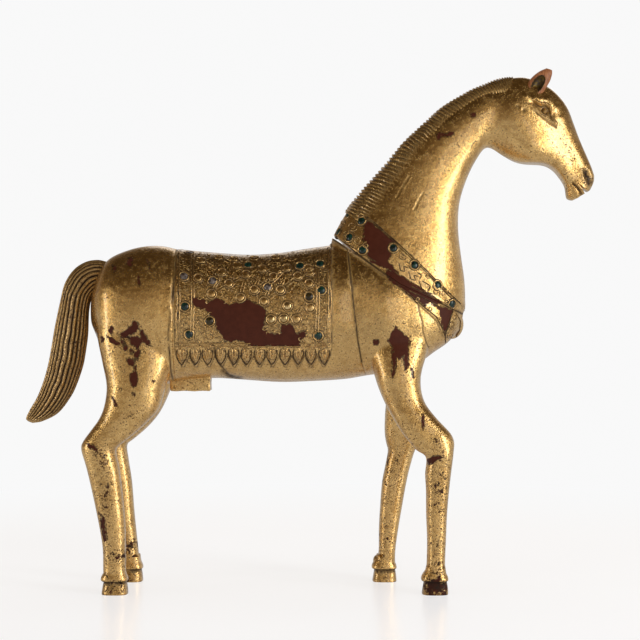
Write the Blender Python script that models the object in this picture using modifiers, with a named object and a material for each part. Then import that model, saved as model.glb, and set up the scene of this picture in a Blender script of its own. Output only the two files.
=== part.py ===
"""Gilded wooden horse with glass inlays, carved from several blocks.

Metres, +Z up. +X points toward the head, and the horse's right side faces -Y. The origin is the
middle of the object on the floor.

The figure is drawn on a squared grid, the way a carver scales a drawing up: every pose table below
is in grid squares, and one square is a fixed share of the height.
"""
import math

import bmesh
import bpy
import numpy as np
from mathutils import Matrix, Vector
from mathutils.bvhtree import BVHTree

# Overall size
HORSE_HEIGHT = 0.570
GRID_SQUARES_HIGH = 518.0
SQUARE = HORSE_HEIGHT / GRID_SQUARES_HIGH

# Joints between the blocks
JOINT_GAP = 0.0003

# Carved relief
CLOTH_RAISE = 0.0013
COLLAR_RAISE = 0.0011
MANE_RIDGES = 34
MANE_RIDGE_RAISE = 0.0036
MANE_GROOVE_RAISE = 0.0014
FRINGE_LEAVES = 12
TAIL_FLUTES = 12
TAIL_FLUTE_DEPTH = 0.16

# Glass inlays
INLAY_RADIUS = 0.0045
INLAY_TOP_RADIUS = 0.0033
INLAY_DEPTH = 0.0016
INLAY_STAND_OUT = 0.0009
INLAY_CLEARANCE = 0.0003
INLAY_SIDES = 6

# Belly block
BELLY_BLOCK_LENGTH = 0.045
BELLY_BLOCK_WIDTH = 0.028
BELLY_BLOCK_DROP = 0.0165

# Meshing of the carved body
VOXEL = 0.0026
SMOOTHING_PASSES = 5
BODY_TRIANGLES = 1760

# Side-view sections, in grid squares: upper x and z, lower x and z, half width, distance from the middle
TORSO = (
    (-218, 288, -218, 262, 13, 0),
    (-214, 303, -212, 250, 30, 0),
    (-207, 319, -203, 228, 42, 0),
    (-197, 330, -192, 210, 49, 0),
    (-173, 339, -170, 203, 54, 0),
    (-149, 341, -145, 203, 55, 0),
    (-125, 336, -120, 207, 53, 0),
    (-93, 333, -93, 209, 51, 0),
    (-61, 331, -61, 207, 51, 0),
    (-29, 333, -29, 205, 52, 0),
    (3, 338, 3, 206, 52, 0),
    (35, 341, 35, 208, 51, 0),
    (62, 337, 59, 212, 50, 0),
    (90, 331, 90, 216, 48, 0),
    (115, 317, 110, 225, 43, 0),
    (133, 302, 124, 235, 35, 0),
    (146, 287, 137, 244, 25, 0),
    (152, 275, 148, 256, 12, 0),
)
NECK_AND_HEAD = (
    (12, 322, 122, 242, 36, 0),
    (24, 350, 152, 274, 41, 0),
    (37.2, 373.5, 155, 287, 38, 0),
    (53.2, 394.5, 154, 309, 34, 0),
    (73, 416.5, 151, 330, 30.5, 0),
    (93, 440.5, 148, 357, 27.5, 0),
    (113, 459.8, 149, 382, 25, 0),
    (132.6, 477, 155.5, 405, 23.5, 0),
    (156.4, 491.8, 165.5, 426, 22.5, 0),
    (178, 501.5, 177, 439.5, 22, 0),
    (197.5, 508, 193, 431, 22.5, 0),
    (216, 509, 203, 426, 23.5, 0),
    (235, 501.5, 213, 423.5, 24, 0),
    (247, 492.5, 224, 423, 23, 0),
    (257, 479.5, 235, 421.5, 20.5, 0),
    (263.5, 463, 244, 416, 17.5, 0),
    (269.5, 447, 251, 407, 15, 0),
    (276.5, 431, 254.5, 400, 13.5, 0),
    (282.5, 417, 255.5, 394, 13, 0),
    (284.5, 407, 256.5, 388, 12, 0),
    (280, 396.5, 262, 386, 9, 0),
)
# Leg sections: back x and z, front x and z, half width, distance from the middle
RIGHT_HIND_LEG = (
    (-206, 285, -140, 285, 24, 30),
    (-213, 257, -134, 250, 26, 30),
    (-205, 228, -134, 222, 25, 31),
    (-199, 203, -141, 203, 23, 33),
    (-201, 183, -147, 181, 20.5, 36),
    (-206, 170, -158, 168, 18.5, 38),
    (-213, 160, -171, 156, 16.5, 39.5),
    (-222, 147, -185, 145, 15, 41),
    (-222.5, 139, -189, 139, 14.2, 41.5),
    (-218, 124, -186, 124, 13.5, 42),
    (-212.5, 101, -183, 101, 12.6, 42),
    (-206, 70, -180, 70, 11.8, 42),
    (-202, 46, -179.3, 46, 11.3, 42),
    (-201.5, 27, -179.3, 27, 11.3, 42),
    (-201, 8, -180, 8, 11, 42),
)
RIGHT_FORELEG = (
    (60, 262, 122, 262, 22, 28),
    (58, 236, 116, 240, 23, 28),
    (64, 211, 109, 212, 21, 30),
    (72, 189, 111.5, 189, 17.5, 34),
    (82, 170, 123, 172, 16, 38),
    (90, 157, 137, 157, 15.2, 40),
    (97, 148, 141, 148, 15, 41),
    (104, 140, 140.5, 140, 14.5, 41.5),
    (113.5, 133, 139.8, 133, 13.8, 42),
    (112.5, 117, 137.8, 117, 13, 42),
    (113.4, 101, 136, 101, 12.4, 42),
    (113.5, 78, 134, 78, 11.6, 42),
    (114.4, 54, 133, 54, 11, 42),
    (114, 31, 132, 31, 11, 42),
    (113, 8, 132, 8, 10.8, 42),
)
LEFT_FORELEG = (
    (58, 262, 118, 262, 22, 28),
    (56, 236, 112, 240, 23, 28),
    (67, 211, 106, 212, 21, 30),
    (76.5, 189, 108, 189, 17.5, 34),
    (76.3, 170, 109, 172, 16, 38),
    (76, 157, 113, 157, 15.2, 40),
    (76.5, 148, 114, 148, 15, 41),
    (78, 140, 111, 140, 14.5, 41.5),
    (79.5, 133, 107, 133, 13.8, 42),
    (76.6, 117, 102.2, 117, 13, 42),
    (73.5, 101, 98.5, 101, 12.4, 42),
    (71.5, 76, 94, 76, 11.6, 42),
    (70.3, 54, 90.3, 54, 11, 42),
    (70, 31, 87.2, 31, 11, 42),
    (67.5, 8, 87, 8, 10.8, 42),
)
LEFT_HIND_LEG = (
    (-204, 285, -140, 285, 24, 30),
    (-211, 257, -134, 250, 26, 30),
    (-203, 228, -134, 222, 25, 31),
    (-197, 203, -140.5, 201, 23, 33),
    (-199, 183, -149, 181, 20.5, 36),
    (-203, 170, -157, 168, 18.5, 38),
    (-210, 160, -168, 156, 16.5, 39.5),
    (-219, 147, -181, 145, 15, 41),
    (-220, 139, -187.5, 139, 14.2, 41.5),
    (-216, 124, -186, 124, 13.5, 42),
    (-210.5, 101, -182.5, 101, 12.6, 42),
    (-204, 70, -180, 70, 11.8, 42),
    (-200, 46, -177.5, 46, 11.3, 42),
    (-197.5, 27, -175.5, 27, 11.3, 42),
    (-196, 8, -174, 8, 11, 42),
)
# Outer edge, inner edge, half width, distance from the middle
TAIL = (
    (-202, 325, -206, 300, 11, 0),
    (-212, 327, -211, 298, 12.5, 0),
    (-224, 325, -215, 294, 13.5, 0),
    (-236, 317, -219, 287, 14.5, 0),
    (-245, 303, -221, 276, 15, 0),
    (-250, 283, -221.5, 265, 15.5, 0),
    (-255, 259, -222, 252, 16, 0),
    (-258, 241, -224, 237, 15.5, 0),
    (-261, 225, -227, 221, 15, 0),
    (-265.5, 208, -233, 203, 14, 0),
    (-272, 191, -240, 189, 12.5, 0),
    (-280, 177, -252, 174, 10, 0),
    (-284, 169, -267, 166, 6.5, 0),
    (-282.5, 166, -277, 164, 2.5, 0),
)
EAR = (
    (216, 491, 233, 487, 5.2, 12),
    (218, 499, 235, 495, 5.6, 12.5),
    (222.5, 506, 237.5, 501, 5.2, 13),
    (229.5, 513, 241, 508, 3.8, 13.5),
    (236, 517.8, 241, 515, 1.6, 14),
)

# Where the blocks meet, in grid squares
NECK_JOINT = ((-60, 407), (22, 349), (88, 302), (153, 272), (230, 239))
SHOULDER_JOINT = ((36.5, 338.7), (43.3, 276), (46.6, 248), (50.6, 226), (57, 209), (57, -20))
HIND_JOINT_X = -133.0

# Hooves and pasterns, in grid squares
HOOF_HEIGHT = 13.4
PASTERN_HEIGHT = 13.8
HOOF_HALF_WIDTH = 12.6
HOOF_FLARE = 0.7
LEG_SPREAD = 42.0

# Cloth and collar outlines in the side view, in grid squares
CLOTH_BACK = -130.0
CLOTH_FRONT = 20.0
CLOTH_HEM = 242.0
FRINGE_DROP = 19.5
COLLAR_OUTLINE = (
    (16, 350), (34, 372), (50, 371), (149, 280), (170, 272), (170, 246),
    (132, 252), (125, 267), (111.5, 279), (83, 304), (60, 320), (38, 336),
)

# Inlay places seen from the side, in grid squares: x and z
COLLAR_INLAYS = (
    (38.3, 371.5), (50, 365.6), (81.8, 337.6), (102.5, 321), (125.6, 301.2), (140, 282.6),
    (28.6, 354.6), (38.6, 348.4), (51.5, 335.5),
)
SADDLE_INLAYS_RIGHT = (
    (-121, 280.1), (-116.8, 252.6), (10, 322.2), (11.3, 296.1), (8.3, 251.5), (-60.5, 321),
    (-9.8, 320), (-118.8, 333), (-122.3, 309.8), (-94.5, 305.5), (-40.7, 299.3), (-97, 265.8),
    (-0.5, 290), (-37.5, 267.7), (-25.2, 268.4), (-21.4, 280.7),
)
SADDLE_INLAYS_LEFT = (
    (-121, 280), (-117, 253), (-118, 308), (-60, 318), (-9, 318), (9, 300), (9, 276), (8, 252),
)

HORSE = bpy.data.collections.new("gilded_wooden_horse")


def clear_scene():
    """Takes the startup objects away and links the collection of the horse."""
    for item in list(bpy.data.objects):
        bpy.data.objects.remove(item, do_unlink=True)
    bpy.context.scene.collection.children.link(HORSE)


def new_object(name, mesh):
    """A mesh object in the collection of the horse."""
    item = bpy.data.objects.new(name, mesh)
    HORSE.objects.link(item)
    return item


def object_from(name, bm):
    """An object made from a bmesh, its normals facing out."""
    bmesh.ops.recalc_face_normals(bm, faces=bm.faces)
    if bm.calc_volume(signed=True) < 0:
        bmesh.ops.reverse_faces(bm, faces=bm.faces)
    mesh = bpy.data.meshes.new(name)
    bm.to_mesh(mesh)
    bm.free()
    return new_object(name, mesh)


def apply_modifiers(item):
    """Turns the modifiers of an object into its mesh."""
    graph = bpy.context.evaluated_depsgraph_get()
    mesh = bpy.data.meshes.new_from_object(item.evaluated_get(graph), depsgraph=graph)
    item.modifiers.clear()
    item.data = mesh


def combine(target, tool, operation, keep_tool=False, solver="EXACT"):
    """Boolean of one solid with another: UNION, DIFFERENCE or INTERSECT."""
    boolean = target.modifiers.new("combine", "BOOLEAN")
    boolean.operation = operation
    boolean.solver = solver
    boolean.object = tool
    apply_modifiers(target)
    if not keep_tool:
        bpy.data.objects.remove(tool, do_unlink=True)
    return target


def carve(target, tool, operation, keep_tool=False):
    """Boolean on the closed, faceted body, whose fine folds the exact solver can misread."""
    return combine(target, tool, operation, keep_tool, solver="MANIFOLD")


def copy_of(item, name):
    """A copy with its own mesh."""
    return new_object(name, item.data.copy())


def curved_rows(rows, steps):
    """Rows between the given ones, on a smooth curve through them."""
    rows = np.array(rows, float)
    ends = np.vstack([2 * rows[0] - rows[1], rows, 2 * rows[-1] - rows[-2]])
    found = []
    for i in range(len(rows) - 1):
        before, start, stop, after = ends[i : i + 4]
        for k in range(steps):
            t = k / steps
            found.append(
                start
                + 0.5 * t * (stop - before)
                + t * t * (before - 2.5 * start + 2 * stop - 0.5 * after)
                + t**3 * (1.5 * (start - stop) + 0.5 * (after - before))
            )
    found.append(rows[-1])
    return np.array(found)


def rounded(value, power):
    """A sine or cosine pushed out toward a square."""
    return math.copysign(abs(value) ** (2 / power), value)


def add_rings(bm, rings):
    """Walls between rings of points, closed at both ends."""
    loops = [[bm.verts.new(point) for point in ring] for ring in rings]
    count = len(loops[0])
    for low, high in zip(loops, loops[1:]):
        for k in range(count):
            bm.faces.new((low[k], low[(k + 1) % count], high[(k + 1) % count], high[k]))
    bm.faces.new(loops[0])
    bm.faces.new(list(reversed(loops[-1])))


def section_ring(row, sides, power, grow=0.0, flutes=0, flute_depth=0.0):
    """Points around one section of a limb, the first at its first edge point."""
    ax, az, bx, bz, half, off = row
    middle = Vector(((ax + bx) / 2, off, (az + bz) / 2))
    across = Vector(((ax - bx) / 2, 0, (az - bz) / 2))
    across = across * (1 + grow / across.length)
    ring = []
    for k in range(sides):
        angle = 2 * math.pi * k / sides
        share = 1 - flute_depth * (0.5 - 0.5 * math.cos(flutes * angle)) if flutes else 1
        along = rounded(math.cos(angle), power) * share
        out = rounded(math.sin(angle), power) * share * (half + grow)
        ring.append((middle + across * along + Vector((0, out, 0))) * SQUARE)
    return ring


def add_limb(bm, table, side=1, steps=3, sides=24, power=2.3, **how):
    """A limb through the sections of a table, on the right (-1) or the left (1)."""
    rows = curved_rows(table, steps)
    rows[:, 5] *= side
    add_rings(bm, [section_ring(row, sides, power, **how) for row in rows])


def limb(name, table, **how):
    """A limb as its own object."""
    bm = bmesh.new()
    add_limb(bm, table, **how)
    return object_from(name, bm)


def prism(name, outline, reach=0.12):
    """The side-view outline, in grid squares, cut right through the width of the horse."""
    bm = bmesh.new()
    points = [(x * SQUARE, z * SQUARE) for x, z in outline]
    add_rings(bm, [[(x, y, z) for x, z in points] for y in (-reach, reach)])
    return object_from(name, bm)


def ellipsoid(name, middle, radii, tilt=0.0, segments=10):
    """An ellipsoid in grid squares, tilted in the side view by an angle in degrees."""
    bm = bmesh.new()
    bmesh.ops.create_uvsphere(bm, u_segments=segments, v_segments=segments // 2 + 1, radius=SQUARE)
    place = Matrix.Translation(Vector(middle) * SQUARE) @ Matrix.Rotation(math.radians(tilt), 4, "Y")
    bm.transform(place @ Matrix.Diagonal((*radii, 1)))
    return object_from(name, bm)


def inset(outline, distance):
    """A closed outline moved in on every edge by a distance, in grid squares."""
    points = [Vector(point) for point in outline]
    area = sum(a.x * b.y - b.x * a.y for a, b in zip(points, points[1:] + points[:1]))
    turn = 1 if area > 0 else -1
    moved = []
    for i, point in enumerate(points):
        first = (point - points[i - 1]).normalized()
        second = (points[(i + 1) % len(points)] - point).normalized()
        normals = [Vector((-edge.y, edge.x)) * turn for edge in (first, second)]
        middle = (normals[0] + normals[1]).normalized()
        moved.append(point + middle * (distance / max(0.3, middle.dot(normals[0]))))
    return [(point.x, point.y) for point in moved]


def body_blank():
    """The whole body before the blocks are parted: trunk, neck, head and legs flowing together."""
    bm = bmesh.new()
    add_limb(bm, TORSO, sides=32, power=2.35)
    add_limb(bm, NECK_AND_HEAD, sides=28, power=2.25)
    legs = ((RIGHT_HIND_LEG, -1), (LEFT_HIND_LEG, 1), (RIGHT_FORELEG, -1), (LEFT_FORELEG, 1))
    for table, side in legs:
        add_limb(bm, table, side=side, power=2.5)
    body = object_from("body", bm)
    remesh = body.modifiers.new("flow", "REMESH")
    remesh.mode = "VOXEL"
    remesh.voxel_size = VOXEL
    smooth = body.modifiers.new("soften", "SMOOTH")
    smooth.factor = 0.5
    smooth.iterations = SMOOTHING_PASSES
    apply_modifiers(body)
    decimate = body.modifiers.new("facets", "DECIMATE")
    decimate.ratio = BODY_TRIANGLES / (2 * len(body.data.polygons))
    decimate.use_collapse_triangulate = True
    apply_modifiers(body)
    return body


def raised(body, outline, height, name):
    """A layer over the body, as thick as the height, inside a side-view outline."""
    layer = copy_of(body, name)
    swell = layer.modifiers.new("swell", "DISPLACE")
    swell.strength = height
    swell.mid_level = 0
    apply_modifiers(layer)
    return carve(layer, prism(name + "_outline", outline), "INTERSECT")


def cloth_outline():
    """The saddle cloth seen from the side, its hem cut into pointed leaves."""
    leaf = (CLOTH_FRONT - CLOTH_BACK) / FRINGE_LEAVES
    points = [(CLOTH_BACK, 420), (CLOTH_BACK, CLOTH_HEM)]
    for k in range(FRINGE_LEAVES):
        left = CLOTH_BACK + k * leaf
        points.append((left + 0.14 * leaf, CLOTH_HEM - 0.5 * FRINGE_DROP))
        points.append((left + 0.5 * leaf, CLOTH_HEM - FRINGE_DROP))
        points.append((left + 0.86 * leaf, CLOTH_HEM - 0.5 * FRINGE_DROP))
        points.append((left + leaf, CLOTH_HEM))
    points.append((CLOTH_FRONT, 420))
    return points


def mane():
    """The crest: a strip over the top of the neck, cut across into ridges."""
    first, last = 2.0, 10.3
    rows = curved_rows(NECK_AND_HEAD, 8)
    angles = [math.radians(angle) for angle in (-44, -22, 0, 22, 44)]
    rings = []
    for k in range(2 * MANE_RIDGES + 1):
        place = first + (last - first) * k / (2 * MANE_RIDGES)
        low = min(int(place * 8), len(rows) - 2)
        ax, az, bx, bz, half, off = rows[low] + (rows[low + 1] - rows[low]) * (place * 8 - low)
        fade = min(1, (last - place) / 1.2 + 0.35)
        height = (MANE_RIDGE_RAISE if k % 2 else MANE_GROOVE_RAISE) * fade / SQUARE
        middle = Vector(((ax + bx) / 2, 0, (az + bz) / 2))
        across = Vector(((ax - bx) / 2, 0, (az - bz) / 2))
        grown = across * (1 + height / across.length)
        spread = 1 - 0.25 * (place - first) / (last - first)
        ring = []
        for angle in angles:
            along = rounded(math.cos(angle * spread), 2.25)
            out = rounded(math.sin(angle * spread), 2.25)
            lean = Vector((-across.z, 0, across.x)).normalized() * 3.0 * abs(out)
            ring.append((middle + grown * along + Vector((0, out * (half + height), 0)) + lean) * SQUARE)
        rings.append(ring)
    bm = bmesh.new()
    add_rings(bm, rings)
    return object_from("mane", bm)


def foot(name, back, front, side, lift_heel=0.0):
    """A hoof with the carved step of the pastern above it."""
    low, high = HOOF_HEIGHT, HOOF_HEIGHT + PASTERN_HEIGHT
    off = side * LEG_SPREAD
    wide = HOOF_HALF_WIDTH
    hoof = (
        (back, 0, front, 0, wide, off),
        (back + HOOF_FLARE, low, front - HOOF_FLARE, low, wide - HOOF_FLARE, off),
    )
    pastern = (
        (back + 0.3, low, front - 1.4, low, wide - 0.9, off),
        (back + 0.1, low + 2.5, front - 1.3, low + 3, wide - 0.9, off),
        (back + 2.2, low + 7.5, front - 2.0, low + 7.5, wide - 1.4, off),
        (back + 3.6, high, front - 2.6, high, wide - 2.0, off),
    )
    shape = limb(name, hoof, steps=1, sides=12, power=3.4)
    return combine(shape, limb(name + "_pastern", pastern, steps=1, sides=12, power=3.2), "UNION")


def carve_head(body):
    """Eyes, nostrils and the mouth, cut in and built up."""
    for side in (-1, 1):
        carve(body, ellipsoid("socket", (233, side * 25.5, 473.5), (9.5, 4.2, 6.2), 35), "DIFFERENCE")
        carve(body, ellipsoid("eyeball", (233, side * 19.8, 473.2), (6.2, 5.0, 4.0), 35), "UNION")
        carve(body, ellipsoid("nostril", (276.5, side * 13.5, 409), (3.6, 5.5, 6.2), 20), "DIFFERENCE")
    mouth = ((262.5, 405.5), (280, 393.5), (277, 388.5), (263.6, 403.5))
    carve(body, prism("mouth", mouth), "DIFFERENCE")


def dressed_body():
    """The body with its raised cloth, collar and mane, and with its feet."""
    body = body_blank()
    plain = copy_of(body, "plain_body")
    cloth = raised(plain, cloth_outline(), CLOTH_RAISE, "cloth")
    collar = raised(plain, COLLAR_OUTLINE, COLLAR_RAISE, "collar")
    for layer in (cloth, collar, mane()):
        carve(body, layer, "UNION")
    carve(body, ellipsoid("chest_knob", (141.5, 0, 263), (12, 12, 15), 0, 12), "UNION")
    carve(body, foot("right_hind_foot", -202.7, -177.4, -1), "UNION")
    carve(body, foot("left_hind_foot", -196.6, -171.4, 1), "UNION")
    carve(body, foot("right_fore_foot", 109.5, 134.9, -1), "UNION")
    carve(body, foot("left_fore_foot", 63.8, 88.2, 1), "UNION")
    carve(body, ellipsoid("fetlock_knob", (70.5, 42, 21), (6.2, 8.5, 6.2)), "UNION")
    carve_head(body)
    return body, plain


def blocks_of(body):
    """The four carved blocks, parted at the joints."""
    gap = JOINT_GAP / 2 / SQUARE
    behind = [(HIND_JOINT_X, 450), (HIND_JOINT_X, -20)]
    regions = {
        "head_and_neck": [*NECK_JOINT, (330, 239), (330, 560), (-60, 560)],
        "forequarters": [*NECK_JOINT[2:], (230, -20), *reversed(SHOULDER_JOINT)],
        "barrel": [(HIND_JOINT_X, -20), (57, -20), *list(reversed(SHOULDER_JOINT))[1:]],
        "hindquarters": [(-330, -20), (-330, 450), *behind],
    }
    regions["barrel"] += [(22, 349), (-60, 407), (HIND_JOINT_X, 458.6)]
    found = {}
    for name, outline in regions.items():
        block = copy_of(body, name)
        found[name] = carve(block, prism(name + "_region", inset(outline, gap)), "INTERSECT")
    return found


def surface_point(tree, x, z, side):
    """Where a straight line from the side meets the block, and the direction out of it."""
    start = Vector((x * SQUARE, side * 0.3, z * SQUARE))
    place, normal, _, _ = tree.ray_cast(start, Vector((0, -side, 0)))
    return place, normal


def inlay_shape(name, place, normal, low, high, low_radius, high_radius):
    """A short round plug along the normal of the surface."""
    bm = bmesh.new()
    bmesh.ops.create_cone(
        bm, cap_ends=True, segments=INLAY_SIDES, radius1=low_radius, radius2=high_radius, depth=high - low
    )
    turn = Vector((0, 0, 1)).rotation_difference(normal).to_matrix().to_4x4()
    bm.transform(Matrix.Translation(place) @ turn @ Matrix.Translation((0, 0, (low + high) / 2)))
    return object_from(name, bm)


def set_inlays(block, places, side, label):
    """Round pockets in a block, each with a glass plug let into it."""
    bm = bmesh.new()
    bm.from_mesh(block.data)
    tree = BVHTree.FromBMesh(bm)
    bm.free()
    sockets = INLAY_RADIUS + INLAY_CLEARANCE
    for number, (x, z) in enumerate(places, 1):
        place, normal = surface_point(tree, x, z, side)
        pocket = inlay_shape("pocket", place, normal, -INLAY_DEPTH, 0.004, sockets, sockets)
        combine(block, pocket, "DIFFERENCE")
        bottom = INLAY_CLEARANCE - INLAY_DEPTH
        inlay_shape(
            f"{label}_{number}", place, normal, bottom, INLAY_STAND_OUT, INLAY_RADIUS, INLAY_TOP_RADIUS
        )


def make_tail(hindquarters):
    """The fluted tail, and the seat that it rests in."""
    how = dict(steps=1, sides=2 * TAIL_FLUTES, power=2.2)
    limb("tail", TAIL, flutes=TAIL_FLUTES, flute_depth=TAIL_FLUTE_DEPTH, **how)
    seat = limb("tail_seat", TAIL, grow=JOINT_GAP / SQUARE + 0.15, steps=1, sides=20, power=2.2)
    carve(hindquarters, seat, "DIFFERENCE")


def make_ears(plain):
    """Two hollowed ears that stand on the poll."""
    skin = copy_of(plain, "skin")
    swell = skin.modifiers.new("swell", "DISPLACE")
    swell.strength = JOINT_GAP
    swell.mid_level = 0
    apply_modifiers(skin)
    for name, side in (("ear_right", -1), ("ear_left", 1)):
        ear = limb(name, EAR, side=side, steps=1, sides=10, power=2.2)
        combine(ear, ellipsoid("hollow", (231.8, side * 18.3, 506.3), (3.4, 4.2, 5.6), 32, 8), "DIFFERENCE")
        carve(ear, skin, "DIFFERENCE", keep_tool=True)
    return skin


def make_belly_block(skin):
    """The flat block under the belly, shaped to it on top."""
    bm = bmesh.new()
    bmesh.ops.create_cube(bm, size=1)
    bottom = 196.0 * SQUARE
    height = BELLY_BLOCK_DROP + 0.01
    bm.transform(
        Matrix.Translation((-119 * SQUARE, 0, bottom + height / 2))
        @ Matrix.Diagonal((BELLY_BLOCK_LENGTH, BELLY_BLOCK_WIDTH, height, 1))
    )
    block = object_from("sheath_block", bm)
    carve(block, skin, "DIFFERENCE")


def material(name, colour, metallic, roughness, transmission=0.0):
    """A plain Principled material."""
    made = bpy.data.materials.new(name)
    made.use_nodes = True
    shader = made.node_tree.nodes["Principled BSDF"]
    shader.inputs["Base Color"].default_value = (*colour, 1)
    shader.inputs["Metallic"].default_value = metallic
    shader.inputs["Roughness"].default_value = roughness
    shader.inputs["Transmission Weight"].default_value = transmission
    made.diffuse_color = (*colour, 1)
    return made


def paint():
    """Gives every piece a material of its own."""
    for item in HORSE.objects:
        if "inlay" in item.name:
            colour, metallic, rough = (0.02, 0.10, 0.06), 0.0, 0.1
        elif item.name.startswith("ear"):
            colour, metallic, rough = (0.45, 0.17, 0.07), 0.0, 0.6
        else:
            colour, metallic, rough = (0.78, 0.56, 0.24), 0.9, 0.35
        item.data.materials.clear()
        item.data.materials.append(material(item.name + "_finish", colour, metallic, rough))


def main():
    """Builds every piece of the horse."""
    clear_scene()
    body, plain = dressed_body()
    blocks = blocks_of(body)
    bpy.data.objects.remove(body, do_unlink=True)
    make_tail(blocks["hindquarters"])
    skin = make_ears(plain)
    bpy.data.objects.remove(plain, do_unlink=True)
    make_belly_block(skin)
    set_inlays(blocks["head_and_neck"], COLLAR_INLAYS, -1, "collar_inlay_right")
    set_inlays(blocks["head_and_neck"], COLLAR_INLAYS, 1, "collar_inlay_left")
    set_inlays(blocks["barrel"], SADDLE_INLAYS_RIGHT, -1, "saddle_inlay_right")
    set_inlays(blocks["barrel"], SADDLE_INLAYS_LEFT, 1, "saddle_inlay_left")
    paint()


if __name__ == "__main__":
    main()
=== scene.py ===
"""The look of the gilded wooden horse: its carved surface, gilding, glass studs and the studio.

Lengths are metres unless a name says otherwise. Pose tables are in squares of the carver's drawing.
Picture places are counted across and down in a square picture, 640 each way, seen from the right
side of the horse. A place on the left side is the same place seen in a mirror from the left.
"""
import logging
import math
from dataclasses import dataclass, field
from enum import Enum

import bmesh
import bpy
import numpy as np
from mathutils import Matrix, Vector
from mathutils.bvhtree import BVHTree


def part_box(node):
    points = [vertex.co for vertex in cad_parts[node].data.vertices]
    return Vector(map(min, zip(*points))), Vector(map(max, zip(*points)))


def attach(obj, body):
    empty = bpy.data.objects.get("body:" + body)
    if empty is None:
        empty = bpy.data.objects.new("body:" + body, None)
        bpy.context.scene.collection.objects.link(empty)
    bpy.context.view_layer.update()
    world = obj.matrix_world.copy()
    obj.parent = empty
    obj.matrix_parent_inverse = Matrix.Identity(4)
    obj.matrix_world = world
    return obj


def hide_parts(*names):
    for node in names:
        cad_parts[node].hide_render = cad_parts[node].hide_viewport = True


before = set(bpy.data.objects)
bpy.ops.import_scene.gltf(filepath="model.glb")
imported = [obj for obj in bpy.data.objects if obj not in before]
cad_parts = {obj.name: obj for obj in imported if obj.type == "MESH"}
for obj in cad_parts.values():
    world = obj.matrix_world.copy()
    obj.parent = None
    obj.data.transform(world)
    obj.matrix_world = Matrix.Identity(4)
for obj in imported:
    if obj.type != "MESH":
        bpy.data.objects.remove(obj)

LOG = logging.getLogger("gilded_horse")
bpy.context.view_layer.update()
BODY = "root"
SQUARE = 0.570 / 518.0
PICTURE_SIZE = 640
BARED_LEVEL = 0.010
LEAP = 0.006
CLOTH_LEFT, CLOTH_RIGHT = 175.7, 330.3
FRINGE_LEAVES = 12
Colour = tuple[float, float, float]
Path = tuple[tuple[float, float], ...]
Socket = bpy.types.NodeSocket
Input = bpy.types.NodeSocket | float | Colour


class Side(Enum):
    """The side of the horse, with the sign of Y on it."""

    RIGHT = -1
    LEFT = 1


class GlassTone(Enum):
    """The kinds of glass in the studs."""

    GREEN = "green"
    CLEAR = "clear"
    OLIVE = "olive"
    GILDED = "gilded"


BOTH = (Side.RIGHT, Side.LEFT)

# Side-view sections in squares: upper x and z, lower x and z, half width, distance from the middle
TORSO = (
    (-218, 288, -218, 262, 13, 0), (-214, 303, -212, 250, 30, 0), (-207, 319, -203, 228, 42, 0),
    (-197, 330, -192, 210, 49, 0), (-173, 339, -170, 203, 54, 0), (-149, 341, -145, 203, 55, 0),
    (-125, 336, -120, 207, 53, 0), (-93, 333, -93, 209, 51, 0), (-61, 331, -61, 207, 51, 0),
    (-29, 333, -29, 205, 52, 0), (3, 338, 3, 206, 52, 0), (35, 341, 35, 208, 51, 0),
    (62, 337, 59, 212, 50, 0), (90, 331, 90, 216, 48, 0), (115, 317, 110, 225, 43, 0),
    (133, 302, 124, 235, 35, 0), (146, 287, 137, 244, 25, 0), (152, 275, 148, 256, 12, 0),
)
NECK_AND_HEAD = (
    (12, 322, 122, 242, 36, 0), (24, 350, 152, 274, 41, 0), (37.2, 373.5, 155, 287, 38, 0),
    (53.2, 394.5, 154, 309, 34, 0), (73, 416.5, 151, 330, 30.5, 0), (93, 440.5, 148, 357, 27.5, 0),
    (113, 459.8, 149, 382, 25, 0), (132.6, 477, 155.5, 405, 23.5, 0),
    (156.4, 491.8, 165.5, 426, 22.5, 0), (178, 501.5, 177, 439.5, 22, 0),
    (197.5, 508, 193, 431, 22.5, 0), (216, 509, 203, 426, 23.5, 0), (235, 501.5, 213, 423.5, 24, 0),
    (247, 492.5, 224, 423, 23, 0), (257, 479.5, 235, 421.5, 20.5, 0),
    (263.5, 463, 244, 416, 17.5, 0), (269.5, 447, 251, 407, 15, 0),
    (276.5, 431, 254.5, 400, 13.5, 0), (282.3, 417, 255.5, 394, 13, 0),
    (284.2, 407, 256.5, 388, 12, 0), (280, 396.5, 262, 386, 9, 0),
)
RIGHT_HIND_LEG = (
    (-200, 291, -146, 291, 14, 26), (-209, 259, -136, 252, 22, 28.5),
    (-204, 228, -134, 222, 24, 30), (-199, 203, -141, 203, 22.9, 33),
    (-201, 183, -147, 181, 20.3, 36), (-206, 170, -158, 168, 18.2, 38),
    (-213, 160, -171, 156, 16.3, 39.5), (-222, 147, -185, 145, 15, 41),
    (-222.5, 139, -189, 139, 14.2, 41.5), (-218, 124, -186, 124, 13.5, 42),
    (-212.5, 101, -183, 101, 12.6, 42), (-206, 70, -180, 70, 11.8, 42),
    (-202, 46, -179.3, 46, 11.3, 42), (-201.5, 27, -179.3, 27, 11.3, 42),
    (-201, 8, -180, 8, 11, 42),
)
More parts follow.
